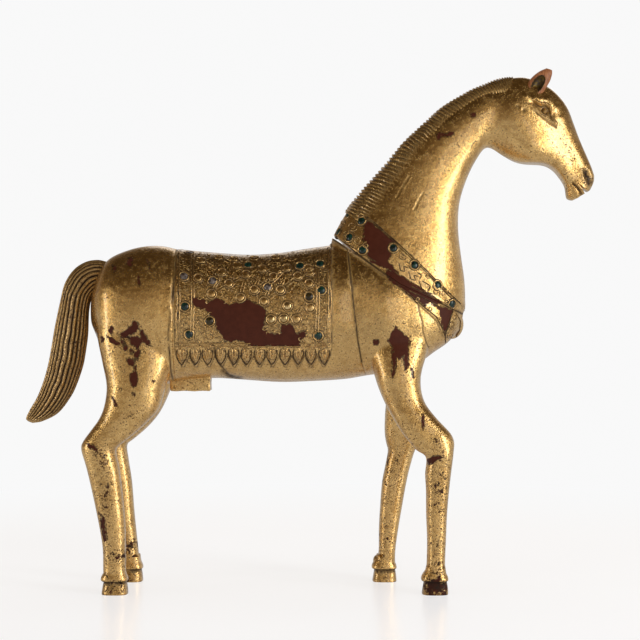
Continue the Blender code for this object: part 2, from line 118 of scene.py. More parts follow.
LEFT_HIND_LEG = (
    (-200, 291, -146, 291, 14, 26), (-208, 259, -136, 252, 22, 28.5),
    (-203, 228, -134, 222, 24, 30), (-197, 203, -140.5, 201, 22.9, 33),
    (-199, 183, -149, 181, 20.3, 36), (-203, 170, -157, 168, 18.2, 38),
    (-210, 160, -168, 156, 16.3, 39.5), (-219, 147, -181, 145, 15, 41),
    (-220, 139, -187.5, 139, 14.2, 41.5), (-216, 124, -186, 124, 13.5, 42),
    (-210.5, 101, -182.5, 101, 12.6, 42), (-204, 70, -180, 70, 11.8, 42),
    (-200, 46, -177.5, 46, 11.3, 42), (-197.5, 27, -175.5, 27, 11.3, 42),
    (-196, 8, -174, 8, 11, 42),
)
RIGHT_FORELEG = (
    (68, 274, 112, 274, 10, 22), (58, 240, 117, 244, 20, 26), (64, 211, 109, 212, 21, 30),
    (72, 189, 111.5, 189, 17.5, 34), (82, 170, 123, 172, 16, 38), (90, 157, 137, 157, 15.2, 40),
    (97, 148, 141, 148, 15, 41), (104, 140, 140.5, 140, 14.5, 41.5),
    (113.5, 133, 139.8, 133, 13.8, 42), (112.5, 117, 137.8, 117, 13, 42),
    (113.4, 101, 136, 101, 12.4, 42), (113.5, 78, 134, 78, 11.6, 42), (114.4, 54, 133, 54, 11, 42),
    (114, 31, 132, 31, 11, 42), (113, 8, 132, 8, 10.8, 42),
)
LEFT_FORELEG = (
    (66, 274, 110, 274, 10, 22), (56, 240, 113, 244, 20, 26), (67, 211, 106, 212, 21, 30),
    (76.5, 189, 108, 189, 17.5, 34), (76.3, 170, 109, 172, 16, 38), (76, 157, 113, 157, 15.2, 40),
    (76.5, 148, 114, 148, 15, 41), (78, 140, 111, 140, 14.5, 41.5), (79.5, 133, 107, 133, 13.8, 42),
    (76.6, 117, 102.2, 117, 13, 42), (73.5, 101, 98.5, 101, 12.4, 42), (71.5, 76, 94, 76, 11.6, 42),
    (70.3, 54, 90.3, 54, 11, 42), (70, 31, 87.2, 31, 11, 42), (67.5, 8, 87, 8, 10.8, 42),
)
TAIL = (
    (-202, 325, -206, 300, 11, 0), (-212, 327, -211, 298, 12.5, 0), (-224, 325, -215, 294, 13.5, 0),
    (-236, 317, -219, 287, 14.5, 0), (-245, 303, -221, 276, 15, 0),
    (-250, 283, -221.5, 265, 15.5, 0), (-255, 259, -222, 252, 16, 0),
    (-258, 241, -224, 237, 15.5, 0), (-261, 225, -227, 221, 15, 0), (-265.5, 208, -233, 203, 14, 0),
    (-272, 191, -240, 189, 12.5, 0), (-280, 177, -252, 174, 10, 0),
    (-283.7, 169, -267, 166, 6.5, 0), (-282.3, 166, -277, 164, 2.5, 0),
)
EAR = (
    (214.5, 493.5, 229.5, 488, 4.6, 12), (215.6, 500, 233.6, 496, 5.8, 12.5),
    (219.6, 507, 238.2, 504, 5.4, 13), (227, 513.2, 240.2, 510.8, 4.0, 13.5),
    (234.4, 516.6, 240.2, 514.6, 1.8, 14),
)


@dataclass(frozen=True)
class Drawing:
    """The squared drawing, and the point from which the picture is seen."""

    distance: float = 1.9
    aim_x: float = 10.0
    aim_z: float = 267.0
    middle: float = PICTURE_SIZE / 2

    def seen(self, points: np.ndarray, side: Side) -> np.ndarray:
        """Where points show in the picture of one side.

        Args:
            points: Places in metres, one row each.
            side: The side that is looked at.

        Returns:
            Rows of across and down, in picture squares.
        """
        scale = self.distance / (self.distance - side.value * points[:, 1])
        across = self.middle + (points[:, 0] / SQUARE - self.aim_x) * scale
        down = self.middle - (points[:, 2] / SQUARE - self.aim_z) * scale
        return np.stack([across, down], 1)

    def sight_line(self, place: tuple[float, float], side: Side) -> tuple[Vector, Vector]:
        """The line from the eye through a picture place.

        Args:
            place: Across and down in the picture.
            side: The side that is looked at.

        Returns:
            The eye and the direction from it.
        """
        eye = Vector((self.aim_x * SQUARE, side.value * self.distance, self.aim_z * SQUARE))
        across = (place[0] - self.middle + self.aim_x) * SQUARE
        up = (self.aim_z + self.middle - place[1]) * SQUARE
        return eye, (Vector((across, 0, up)) - eye).normalized()


DRAWING = Drawing()


class NodePen:
    """Sets nodes into a tree and joins their sockets."""

    def __init__(self, tree: bpy.types.NodeTree) -> None:
        """Starts on an empty tree."""
        self.tree = tree
        tree.nodes.clear()

    def node(self, kind: str, inputs: dict | None = None, **settings: object) -> bpy.types.Node:
        """Adds one node.

        Args:
            kind: The node's type name.
            inputs: Values or sockets for its inputs, by name or number.
            settings: Properties of the node.

        Returns:
            The new node.
        """
        made = self.tree.nodes.new(kind)
        for name, value in settings.items():
            setattr(made, name, value)
        for key, value in (inputs or {}).items():
            if isinstance(value, bpy.types.NodeSocket):
                self.tree.links.new(value, made.inputs[key])
            else:
                made.inputs[key].default_value = value
        return made

    def maths(self, operation: str, *values: Input, clamp: bool = False) -> Socket:
        """The result of one sum on numbers or sockets."""
        inputs = dict(enumerate(values))
        return self.node("ShaderNodeMath", inputs, operation=operation, use_clamp=clamp).outputs[0]

    def times(self, first: Input, second: Input, clamp: bool = False) -> Socket:
        """The product of two numbers."""
        return self.maths("MULTIPLY", first, second, clamp=clamp)

    def less(self, first: Input, second: Input, clamp: bool = False) -> Socket:
        """The first number less the second."""
        return self.maths("SUBTRACT", first, second, clamp=clamp)

    def plus(self, value: Input, share: Input, rest: Input, clamp: bool = False) -> Socket:
        """A share of one number, added to another."""
        return self.maths("MULTIPLY_ADD", value, share, rest, clamp=clamp)

    def noise(self, where: Socket, scale: float, detail: float, rough: float = 0.55) -> Socket:
        """The value of a noise pattern at a place."""
        inputs = {"Vector": where, "Scale": scale, "Detail": detail, "Roughness": rough}
        return self.node("ShaderNodeTexNoise", inputs).outputs[0]

    def stretched(self, where: Socket, angle: float, length: float) -> Socket:
        """A place for patterns that run along a slanting line."""
        inputs = {"Vector": where, "Rotation": (0, angle, 0), "Scale": (1.0, 1.0, length)}
        return self.node("ShaderNodeMapping", inputs).outputs[0]

    def ramp(self, value: Socket, low: float, high: float) -> Socket:
        """Nought below one value, one above another, and smooth between."""
        inputs = {"Value": value, "From Min": low, "From Max": high}
        node = self.node("ShaderNodeMapRange", inputs, interpolation_type="SMOOTHSTEP")
        return node.outputs[0]

    def blend(self, share: Input, first: Input, second: Input) -> Socket:
        """A colour between two colours."""
        values = [(*v, 1.0) if isinstance(v, tuple) else v for v in (first, second)]
        inputs = {0: share, 6: values[0], 7: values[1]}
        return self.node("ShaderNodeMix", inputs, data_type="RGBA").outputs[2]

    def mark(self, name: str) -> Socket:
        """A value that the carving left on the surface, for a material."""
        return self.node("ShaderNodeAttribute", attribute_name=name).outputs["Fac"]

    def left(self, name: str, kind: str = "FLOAT") -> Socket:
        """A value that was left on every point, for a geometry tree."""
        node = self.node("GeometryNodeInputNamedAttribute", {"Name": name}, data_type=kind)
        return node.outputs["Attribute"]

    def place(self) -> Socket:
        """Where a point of the piece lies."""
        return self.node("ShaderNodeTexCoord").outputs["Object"]

    def bump(self, height: Socket, strength: float, distance: float) -> Socket:
        """Small dents and rises in the shading."""
        inputs = {"Strength": strength, "Distance": distance, "Height": height}
        return self.node("ShaderNodeBump", inputs).outputs[0]

    def coat(self, looks: dict[str, object]) -> None:
        """Ends a material in one shader with the given looks."""
        shader = self.node("ShaderNodeBsdfPrincipled", looks)
        self.node("ShaderNodeOutputMaterial", {"Surface": shader.outputs[0]})


def new_material(name: str) -> tuple[bpy.types.Material, NodePen]:
    """A material with an empty tree, and a pen on it."""
    made = bpy.data.materials.new(name)
    made.use_nodes = True
    return made, NodePen(made.node_tree)


@dataclass(frozen=True)
class GoldLeaf:
    """Worn gold leaf over red-brown lacquer.

    Marks on the surface steer it: groove darkens dark joints and paints shade in hollows and
    grooves, worn chips the leaf, the darkening mark dulls it where it is smoked and where shade
    is painted, cloth crinkles it and paints shade beside its cords, and bared takes it off where
    it is above its level.
    """

    name: str
    bright: Colour = (0.90, 0.578, 0.212)
    deep: Colour = (0.58, 0.328, 0.092)
    lacquer: Colour = (0.066, 0.0125, 0.0040)
    lacquer_light: Colour = (0.090, 0.019, 0.0070)
    # The dark of joints, of the wood under chips, and of painted shade in hollows
    dirt_and_shade: Colour = (0.028, 0.012, 0.005)
    crinkle: float = 0.62
    crinkle_depth: float = 0.0011
    raggedness: float = 0.0046

    def gold(self, pen: NodePen, tone: Socket, clouds: Socket) -> Socket:
        """The leaf's colour where it stands, dulled where smoked and where shade is painted."""
        gold = pen.blend(pen.ramp(tone, 0.66, 1.04), self.deep, self.bright)
        # The cloth is darkened as well, as painted shade of its deep relief
        smoke_and_shade = pen.plus(pen.mark("cloth"), 0.52, pen.mark("smoke_and_shade"))
        smoke_and_shade = pen.times(smoke_and_shade, pen.ramp(clouds, 0.2, 0.7), clamp=True)
        return pen.blend(pen.times(smoke_and_shade, 0.75), gold, tuple(0.45 * c for c in self.deep))

    def chipped(self, pen: NodePen, where: Socket, mottle: Socket) -> Socket:
        """Where flakes and specks of the leaf are gone."""
        worn = pen.mark("worn")
        flakes = pen.ramp(pen.plus(worn, 0.16, pen.noise(where, 150, 8, 0.76)), 0.680, 0.700)
        specks = pen.plus(mottle, 0.30, pen.noise(where, 560, 3, 0.6))
        specks = pen.ramp(pen.plus(worn, 0.08, specks), 0.765, 0.80)
        return pen.maths("MAXIMUM", flakes, pen.times(specks, 0.8))

    def bared(self, pen: NodePen, where: Socket) -> tuple[Socket, Socket]:
        """Where the leaf is gone down to the lacquer, and the dark rim round it."""
        ragged = pen.times(pen.less(pen.noise(where, 210, 5, 0.6), 0.5), self.raggedness)
        edge = pen.maths("ADD", pen.less(pen.mark("bared"), BARED_LEVEL), ragged)
        bared = pen.ramp(edge, -0.00008, 0.00008)
        return bared, pen.less(pen.ramp(edge, -0.00075, -0.0003), bared, clamp=True)

    def material(self) -> bpy.types.Material:
        """Builds the finish as a material."""
        made, pen = new_material(self.name)
        where = pen.place()
        clouds = pen.noise(where, 30, 4)
        mottle = pen.noise(where, 170, 5, 0.62)
        fine = pen.noise(where, 850, 3, 0.6)
        grit = pen.noise(where, 1900, 2, 0.6)
        streaks = pen.noise(pen.stretched(where, 0.6, 0.22), 900, 2, 0.5)
        tone = pen.plus(fine, 0.5, pen.plus(clouds, 0.5, pen.times(mottle, 0.8)))
        chipped = self.chipped(pen, where, mottle)
        bared, rim = self.bared(pen, where)
        # Groove darkens dark joints, and paints shade in hollows, cuts, grooves and by raised edges
        groove = pen.times(pen.mark("groove"), pen.ramp(mottle, 0.10, 0.55), clamp=True)
        cloth = pen.times(pen.mark("cloth"), pen.less(1.0, bared))
        # Raised cords on the cloth, with painted shade in the ditch beside each
        cord = pen.maths("ABSOLUTE", pen.less(pen.noise(where, 170, 2, 0.5), 0.5))
        ridge = pen.less(1.0, pen.ramp(cord, 0.004, 0.03))
        ditch_shade = pen.less(pen.ramp(cord, 0.02, 0.04), pen.ramp(cord, 0.05, 0.08))

        under = pen.blend(pen.ramp(mottle, 0.4, 0.6), self.dirt_and_shade, self.lacquer)
        colour = pen.blend(chipped, self.gold(pen, tone, clouds), under)
        for share in (groove, pen.times(rim, 0.8), pen.times(pen.times(ditch_shade, cloth), 0.6)):
            colour = pen.blend(share, colour, self.dirt_and_shade)
        ground = pen.blend(pen.ramp(tone, 0.7, 1.1), self.lacquer, self.lacquer_light)
        colour = pen.blend(bared, colour, ground)

        height = pen.plus(mottle, 0.7, pen.times(clouds, 1.6))
        raised = ((fine, 0.30), (grit, 0.13), (streaks, 0.16), (pen.times(ridge, cloth), 0.9),
                  (chipped, -0.25))
        for pattern, share in raised:
            height = pen.plus(pattern, share, height)
        height = pen.times(height, pen.plus(bared, -0.8, 1.0))

        dull = pen.maths("MAXIMUM", pen.maths("MAXIMUM", chipped, groove), bared)
        pen.coat({
            "Base Color": colour, "Metallic": pen.less(1.0, pen.times(dull, 0.92), clamp=True),
            "Roughness": pen.plus(dull, 0.25, pen.plus(mottle, 0.26, 0.13)),
            "Normal": pen.bump(height, self.crinkle, self.crinkle_depth),
            "Specular IOR Level": 0.22, "Coat Weight": pen.plus(dull, -0.6, 0.6, clamp=True),
            "Coat Roughness": 0.12, "Coat IOR": 1.6,
        })
        made.diffuse_color = (*self.bright, 1)
        return made


@dataclass(frozen=True)
class StudGlass:
    """Old glass over foil, with seeds."""

    tone: GlassTone
    light: Colour
    dark: Colour
    metallic: float = 0.0

    def material(self) -> bpy.types.Material:
        """Builds the glass as a material."""
        made, pen = new_material(f"{self.tone.value}_stud_glass")
        where = pen.place()
        clouds = pen.noise(where, 260, 3)
        seeds = pen.node("ShaderNodeTexVoronoi", {"Vector": where, "Scale": 1100.0}).outputs[0]
        colour = pen.blend(pen.ramp(clouds, 0.35, 0.68), self.dark, self.light)
        colour = pen.blend(pen.ramp(seeds, 0.22, 0.10), colour, tuple(0.3 * c for c in self.dark))
        pen.coat({
            "Base Color": colour, "Metallic": self.metallic,
            "Roughness": pen.plus(clouds, 0.22, 0.03), "Normal": pen.bump(clouds, 0.25, 0.0006),
            "IOR": 1.52,
        })
        return made


@dataclass(frozen=True)
class BareWood:
    """The wood of the ears, bare on the rim and gilded in the hollow and behind."""

    name: str
    wood: Colour = (0.44, 0.170, 0.060)
    grain: Colour = (0.27, 0.090, 0.03)
    gold: Colour = (0.42, 0.29, 0.075)
    # The dark of dark patches in the gilt, and of painted shade in the hollow
    dirt_and_shade: Colour = (0.035, 0.016, 0.007)

    def material(self) -> bpy.types.Material:
        """Builds the finish as a material."""
        made, pen = new_material(self.name)
        where = pen.place()
        fibres = pen.noise(pen.stretched(where, -0.5, 0.15), 900, 4, 0.6)
        mottle = pen.noise(where, 320, 5, 0.65)
        wood = pen.blend(pen.ramp(fibres, 0.35, 0.62), self.grain, self.wood)
        gilt = pen.blend(pen.ramp(mottle, 0.42, 0.56), self.dirt_and_shade, self.gold)
        share = pen.maths("ADD", pen.mark("gilt"), pen.plus(mottle, 0.6, -0.3))
        share = pen.ramp(share, 0.42, 0.55)
        colour = pen.blend(share, wood, gilt)
        pen.coat({
            "Base Color": pen.blend(pen.times(pen.mark("groove"), 0.9), colour, self.dirt_and_shade),
            "Metallic": pen.times(share, pen.ramp(mottle, 0.44, 0.56)), "Roughness": 0.48,
            "Normal": pen.bump(fibres, 0.5, 0.0005),
        })
        return made


def linked(name: str, data: bpy.types.ID) -> bpy.types.Object:
    """Puts a new object into the scene."""
    item = bpy.data.objects.new(name, data)
    bpy.context.scene.collection.objects.link(item)
    return item


def new_piece(name: str, points: np.ndarray, faces: list) -> bpy.types.Object:
    """A closed mesh piece, its faces turned outwards."""
    mesh = bpy.data.meshes.new(name)
    mesh.from_pydata([tuple(p) for p in points], [], faces)
    bm = bmesh.new()
    bm.from_mesh(mesh)
    bmesh.ops.recalc_face_normals(bm, faces=bm.faces)
    if bm.calc_volume(signed=True) < 0:
        bmesh.ops.reverse_faces(bm, faces=bm.faces)
    bm.to_mesh(mesh)
    bm.free()
    return linked(name, mesh)


def freeze(item: bpy.types.Object) -> bpy.types.Object:
    """Turns the modifiers of a piece into its plain mesh."""
    graph = bpy.context.evaluated_depsgraph_get()
    mesh = bpy.data.meshes.new_from_object(item.evaluated_get(graph), depsgraph=graph)
    item.modifiers.clear()
    old = item.data
    item.data = mesh
    bpy.data.meshes.remove(old)
    return item


def cut(target: bpy.types.Object, tool: bpy.types.Object, operation: str) -> bpy.types.Object:
    """Joins, cuts or keeps what two solids share, and takes the second away."""
    boolean = target.modifiers.new("cut", "BOOLEAN")
    boolean.operation = operation
    boolean.solver = "MANIFOLD"
    boolean.object = tool
    freeze(target)
    bpy.data.objects.remove(tool, do_unlink=True)
    return target


def curved_rows(rows: tuple, steps: int) -> np.ndarray:
    """Rows between the given ones, on a smooth curve through them."""
    table = np.array(rows, float)
    ends = np.vstack([2 * table[0] - table[1], table, 2 * table[-1] - table[-2]])
    found = []
    for i in range(len(table) - 1):
        before, start, stop, after = ends[i:i + 4]
        for k in range(steps):
            t = k / steps
            found.append(
                start + 0.5 * t * (stop - before)
                + t * t * (before - 2.5 * start + 2 * stop - 0.5 * after)
                + t ** 3 * (1.5 * (start - stop) + 0.5 * (after - before))
            )
    found.append(table[-1])
    return np.array(found)


def rounded(values: np.ndarray, power: float) -> np.ndarray:
    """Sines or cosines pushed out toward a square."""
    return np.sign(values) * np.abs(values) ** (2 / power)


@dataclass(frozen=True)
class Limb:
    """A form that follows a table of sections."""

    table: tuple
    side: int = 1
    steps: int = 4
    sides: int = 48
    power: float = 2.3
    lean: float = 0.0
    lean_rows: tuple = (0, 1, 2, 3)

    def rings(self) -> np.ndarray:
        """Points of every section, in metres: section, point, coordinate."""
        rows = curved_rows(self.table, self.steps)
        ax, az, bx, bz, half, off = rows.T
        angles = 2 * np.pi * np.arange(self.sides) / self.sides
        along = rounded(np.cos(angles), self.power)
        out = rounded(np.sin(angles), self.power)
        row = np.arange(len(rows)) / self.steps
        start, full, ease, stop = self.lean_rows
        lean = self.lean * smooth_step(row, start, full) * (1 - 0.7 * smooth_step(row, ease, stop))
        along = along[None, :] - lean[:, None] * (1 - along[None, :] ** 2)
        x = (ax + bx)[:, None] / 2 + (ax - bx)[:, None] / 2 * along
        z = (az + bz)[:, None] / 2 + (az - bz)[:, None] / 2 * along
        y = self.side * off[:, None] + half[:, None] * out
        return np.stack([x, y, z], 2) * SQUARE

    def shell(self, start: int = 0) -> tuple[np.ndarray, list]:
        """Points and faces of the closed form.

        Args:
            start: The number of the first point.

        Returns:
            Points, one row each, and faces as point numbers.
        """
        return closed_tube(self.rings(), start)


def closed_tube(rings: np.ndarray, start: int = 0) -> tuple[np.ndarray, list]:
    """Walls between rings of points, closed at both ends."""
    count, sides = rings.shape[:2]
    faces = []
    for i in range(count - 1):
        for k in range(sides):
            a, b = start + i * sides + k, start + i * sides + (k + 1) % sides
            faces.append((a, b, b + sides, a + sides))
    faces.append(tuple(range(start, start + sides)))
    faces.append(tuple(reversed(range(start + (count - 1) * sides, start + count * sides))))
    return rings.reshape(-1, 3), faces


def limb_piece(name: str, limb: Limb) -> bpy.types.Object:
    """A limb as its own closed piece."""
    return new_piece(name, *limb.shell())


def prism(name: str, outline: Path, reach: float = 0.12) -> bpy.types.Object:
    """A side-view outline, in squares, through the whole width of the horse."""
    flat = [(x * SQUARE, z * SQUARE) for x, z in outline]
    rings = np.array([[(x, y, z) for x, z in flat] for y in (-reach, reach)])
    return new_piece(name, *closed_tube(rings))


def ellipsoid(name: str, middle: tuple, radii: tuple, tilt: float = 0.0) -> bpy.types.Object:
    """An ellipsoid in squares, tilted in the side view by an angle in degrees."""
    bm = bmesh.new()
    bmesh.ops.create_uvsphere(bm, u_segments=40, v_segments=24, radius=SQUARE)
    turn = Matrix.Rotation(math.radians(tilt), 4, "Y")
    bm.transform(Matrix.Translation(Vector(middle) * SQUARE) @ turn @ Matrix.Diagonal((*radii, 1)))
    mesh = bpy.data.meshes.new(name)
    bm.to_mesh(mesh)
    bm.free()
    return linked(name, mesh)


def path_distance(points: np.ndarray, path: np.ndarray) -> np.ndarray:
    """How far flat points lie from a path."""
    best = np.full(len(points), 1e9)
    for a, b in zip(path, path[1:]):
        step = b - a
        share = np.clip(((points - a) @ step) / max(step @ step, 1e-12), 0, 1)
        away = points - (a + share[:, None] * step)
        best = np.minimum(best, np.hypot(away[:, 0], away[:, 1]))
    return best


def spaced(path: Path, step: float) -> list[tuple[float, float]]:
    """Even places along a path, about a step apart."""
    corners = np.array(path, float)
    total = np.concatenate([[0], np.cumsum(np.hypot(*np.diff(corners, axis=0).T))])
    marks = np.linspace(0, total[-1], max(3, int(total[-1] / step) + 1))
    places = np.stack([np.interp(marks, total, corners[:, i]) for i in (0, 1)], 1)
    return [tuple(place) for place in places]


def depth_inside(points: np.ndarray, outline: Path, reach: float) -> np.ndarray:
    """How deep flat points lie inside an outline, and below nought outside it.

    Args:
        points: Flat points, one row each.
        outline: The corners of the closed outline.
        reach: How far outside the outline the depth is still worked out.

    Returns:
        The depth of each point, at least minus the reach.
    """
    corners = np.array(outline, float)
    ring = np.vstack([corners, corners[:1]])
    found = np.full(len(points), -reach)
    low, high = corners.min(0) - reach, corners.max(0) + reach
    near = np.flatnonzero(((points > low) & (points < high)).all(1))
    if not len(near):
        return found
    at = points[near]
    within = np.zeros(len(near), bool)
    for a, b in zip(ring, ring[1:]):
        spans = (a[1] > at[:, 1]) != (b[1] > at[:, 1])
        if a[1] != b[1]:
            crossing = a[0] + (at[:, 1] - a[1]) * (b[0] - a[0]) / (b[1] - a[1])
            within ^= spans & (at[:, 0] < crossing)
    away = path_distance(at, ring)
    found[near] = np.maximum(np.where(within, away, -away), -reach)
    return found


def smooth_step(values: np.ndarray, low: float, high: float) -> np.ndarray:
    """Nought below one value, one above another, and smooth between."""
    share = np.clip((values - low) / (high - low), 0, 1)
    return share * share * (3 - 2 * share)


@dataclass(frozen=True)
class Stroke:
    """One pass of the gouge, or one form left standing, drawn in the picture.

    The width is in picture squares. A crisp stroke has a sharp bottom, a soft one is rounded.
    """

    path: Path
    width: float
    height: float
    sides: tuple[Side, ...] = BOTH
    crisp: bool = False
    dark: float = 0.0

    def share(self, seen: np.ndarray) -> np.ndarray:
        """How strongly the stroke acts on each picture place, from nought to one."""
        path = np.array(self.path, float)
        reach = self.width * (1.0 if self.crisp else 2.6)
        low, high = path.min(0) - reach, path.max(0) + reach
        found = np.zeros(len(seen))
        near = np.flatnonzero(((seen > low) & (seen < high)).all(1))
        if not len(near):
            return found
        if len(path) == 1:
            path = np.vstack([path, path + 1e-3])
        away = path_distance(seen[near], path) / self.width
        found[near] = np.clip(1 - away, 0, 1) ** 1.3 if self.crisp else np.exp(-away * away)
        return found


class CarvedSurface:
    """The points and normals of a piece, moved and marked together."""

    def __init__(self, item: bpy.types.Object) -> None:
        """Reads the points and normals of a piece."""
        self.item = item
        count = len(item.data.vertices)
        self.points = np.empty(count * 3)
        item.data.vertices.foreach_get("co", self.points)
        self.points = self.points.reshape(-1, 3)
        self.normals = np.empty(count * 3)
        item.data.vertex_normals.foreach_get("vector", self.normals)
        self.normals = self.normals.reshape(-1, 3)

    def facing(self, side: Side) -> np.ndarray:
        """How far each point faces a side, from nought to one."""
        turned = smooth_step(side.value * self.normals[:, 1], 0.02, 0.25)
        return turned * (side.value * self.points[:, 1] > 0)

    def raise_by(self, heights: np.ndarray) -> None:
        """Moves every point along its normal."""
        self.points += self.normals * heights[:, None]
        self.item.data.vertices.foreach_set("co", self.points.ravel())
        self.item.data.update()

    def carve(self, strokes: tuple[Stroke, ...]) -> np.ndarray:
        """Makes strokes on both sides.

        Args:
            strokes: The strokes, all made at once.

        Returns:
            How dark the strokes leave each point, from nought to one.
        """
        heights = np.zeros(len(self.points))
        dark = np.zeros(len(self.points))
        for side in BOTH:
            seen = DRAWING.seen(self.points, side)
            facing = self.facing(side)
            for stroke in strokes:
                if side in stroke.sides:
                    share = stroke.share(seen) * facing
                    heights += stroke.height * share
                    dark = np.maximum(dark, stroke.dark * share)
        self.raise_by(heights)
        return dark

    def mark(self, name: str, values: np.ndarray) -> None:
        """Leaves a value on every point for the finish to read."""
        old = self.item.data.attributes.get(name)
        made = old or self.item.data.attributes.new(name, "FLOAT", "POINT")
        made.data.foreach_set("value", values.astype(np.float32))

    def read(self, name: str) -> np.ndarray:
        """A value that was left on every point."""
        values = np.zeros(len(self.points), np.float32)
        made = self.item.data.attributes.get(name)
        if made:
            made.data.foreach_get("value", values)
        return values.astype(float)


class SurfaceFinder:
    """Finds where the sight line of a picture place meets the carved surface."""

    def __init__(self, *items: bpy.types.Object) -> None:
        """Gathers the surfaces of some pieces."""
        graph = bpy.context.evaluated_depsgraph_get()
        self.trees = [BVHTree.FromObject(item, graph) for item in items]

    def at(self, place: tuple[float, float], side: Side) -> tuple[Vector, Vector] | None:
        """The surface at a picture place.

        Args:
            place: Across and down in the picture.
            side: The side that is looked at.

        Returns:
            The point and the direction out of the surface, or nothing where the line misses.
        """
        eye, direction = DRAWING.sight_line(place, side)
        best = None
        for tree in self.trees:
            point, normal, _, away = tree.ray_cast(eye, direction)
            if point is not None and (best is None or away < best[2]):
                best = (point, normal, away)
        return best[:2] if best else None

    def steady(self, place: tuple[float, float], side: Side) -> tuple[Vector, Vector] | None:
        """The surface at a picture place, with the direction evened out over its surroundings."""
        found = self.at(place, side)
        if not found:
            return None
        total = found[1].copy()
        for dx, dz in ((2, 0), (-2, 0), (0, 2), (0, -2)):
            other = self.at((place[0] + dx, place[1] + dz), side)
            if other and (other[0] - found[0]).length < LEAP:
                total += other[1]
        return found[0], total.normalized()

    def nearest(self, middle: Vector) -> tuple[Vector, Vector]:
        """The point of the surface nearest to a place, and the direction out of it."""
        found = [tree.find_nearest(middle) for tree in self.trees]
        return min(found, key=lambda hit: hit[3])[:2]


def new_tree(name: str, sizes: dict[str, tuple[str, object]]) -> tuple:
    """An empty geometry tree with named inputs.

    Args:
        name: The tree's name.
        sizes: For each input its socket type and its usual value.

    Returns:
        The tree, a pen on it and its input node.
    """
    tree = bpy.data.node_groups.new(name, "GeometryNodeTree")
    tree.interface.new_socket(name="Geometry", in_out="INPUT", socket_type="NodeSocketGeometry")
    for label, (kind, usual) in sizes.items():
        socket = tree.interface.new_socket(name=label, in_out="INPUT", socket_type=kind)
        if usual is not None:
            socket.default_value = usual
    tree.interface.new_socket(name="Geometry", in_out="OUTPUT", socket_type="NodeSocketGeometry")
    pen = NodePen(tree)
    return tree, pen, pen.node("NodeGroupInput").outputs


def close_tree(pen: NodePen, geometry: Socket, finish: Socket) -> None:
    """Ends a geometry tree: smooth shading, plain meshes and the finish."""
    smooth = pen.node("GeometryNodeSetShadeSmooth", {0: geometry}).outputs[0]
    plain = pen.node("GeometryNodeRealizeInstances", {0: smooth}).outputs[0]
    dressed = pen.node("GeometryNodeSetMaterial", {"Geometry": plain, "Material": finish})
    pen.node("NodeGroupOutput", {0: dressed.outputs[0]})


def run_tree(item: bpy.types.Object, tree: bpy.types.NodeTree, values: dict) -> bpy.types.Object:
    """Works a geometry tree on a piece and keeps the plain mesh.

    Args:
        item: The piece that the tree starts from.
        tree: The geometry tree.
        values: The sizes to set, by the name of the input.

    Returns:
        The same piece with its new mesh.
    """
    modifier = item.modifiers.new(tree.name, "NODES")
    modifier.node_group = tree
    for socket in tree.interface.items_tree:
        if socket.in_out == "INPUT" and socket.name in values:
            modifier[socket.identifier] = values[socket.name]
    return freeze(item)


def darken_whole_piece(item: bpy.types.Object) -> bpy.types.Object:
    """Marks a whole piece as dark groove: painted shade by the relief, and dark collar lines."""
    surface = CarvedSurface(item)
    surface.mark("groove", np.full(len(surface.points), 0.95))
    return item


@dataclass
class LaidThreads:
    """Thin raised lines that follow a surface, each with its own thickness along its length."""

    sides: int = 6
    lift: float = 0.15
    thin_end: float = 0.35
    # The painted shade beside a thread is a low dark tube, this high and this much wider
    shade_rise: float = 0.00034
    shade_spread: float = 0.0012
    runs: list = field(default_factory=list)

    def tree(self) -> bpy.types.NodeTree:
        """The tree that turns lines into rounded threads."""
        sizes = {"Sides": ("NodeSocketInt", self.sides), "Finish": ("NodeSocketMaterial", None)}
        tree, pen, given = new_tree("laid_threads", sizes)
        lines = pen.node("GeometryNodeMeshToCurve", {"Mesh": given["Geometry"]}).outputs[0]
        profile = pen.node(
            "GeometryNodeCurvePrimitiveCircle", {"Resolution": given["Sides"], "Radius": 1.0}
        ).outputs[0]
        tubes = pen.node(
            "GeometryNodeCurveToMesh",
            {"Curve": lines, "Profile Curve": profile, "Scale": pen.left("thread"),
             "Fill Caps": True},
        )
        close_tree(pen, tubes.outputs[0], given["Finish"])
        return tree

    def follow(self, finder: SurfaceFinder, path: Path, side: Side, thick: float,
               step: float = 1.3) -> None:
        """Lays one line along a path in the picture, its ends running out thin.

        Args:
            finder: Finds the surface under the path.
            path: The path, in picture squares.
            side: The side of the horse.
            thick: The radius of the thread.
            step: The distance between its points, in picture squares.
        """
        run: list = []
        for place in spaced(path, step):
            found = finder.at(place, side)
            broken = found and run and (found[0] - run[-1][0]).length > LEAP
            if not found or broken:
                self.keep(run, thick)
                run = []
            if found:
                run.append(found)
        self.keep(run, thick)

    def keep(self, run: list, thick: float) -> None:
        """Keeps a run of points, with their normals, as one thread."""
        if len(run) < 3:
            return
        sizes = [thick] * len(run)
        sizes[0] = sizes[-1] = thick * self.thin_end
        self.runs.append((run, sizes))

    def piece(self, name: str, finish: bpy.types.Material, painted_shade: bool = False) -> bpy.types.Object:
        """Makes all the threads, or the low tubes of painted shade beside them, into one piece."""
        points, edges, sizes = [], [], []
        for run, radii in self.runs:
            edges += [(len(points) + i, len(points) + i + 1) for i in range(len(run) - 1)]
            radii = [radius + self.shade_spread for radius in radii] if painted_shade else radii
            for (point, normal), radius in zip(run, radii):
                rise = self.shade_rise - radius if painted_shade else radius * self.lift
                points.append(tuple(point + normal * rise))
            sizes += radii
        mesh = bpy.data.meshes.new(name)
        mesh.from_pydata(points, edges, [])
        mesh.attributes.new("thread", "FLOAT", "POINT").data.foreach_set("value", sizes)
        values = {"Sides": self.sides, "Finish": finish}
        item = run_tree(linked(name, mesh), self.tree(), values)
        return darken_whole_piece(item) if painted_shade else item


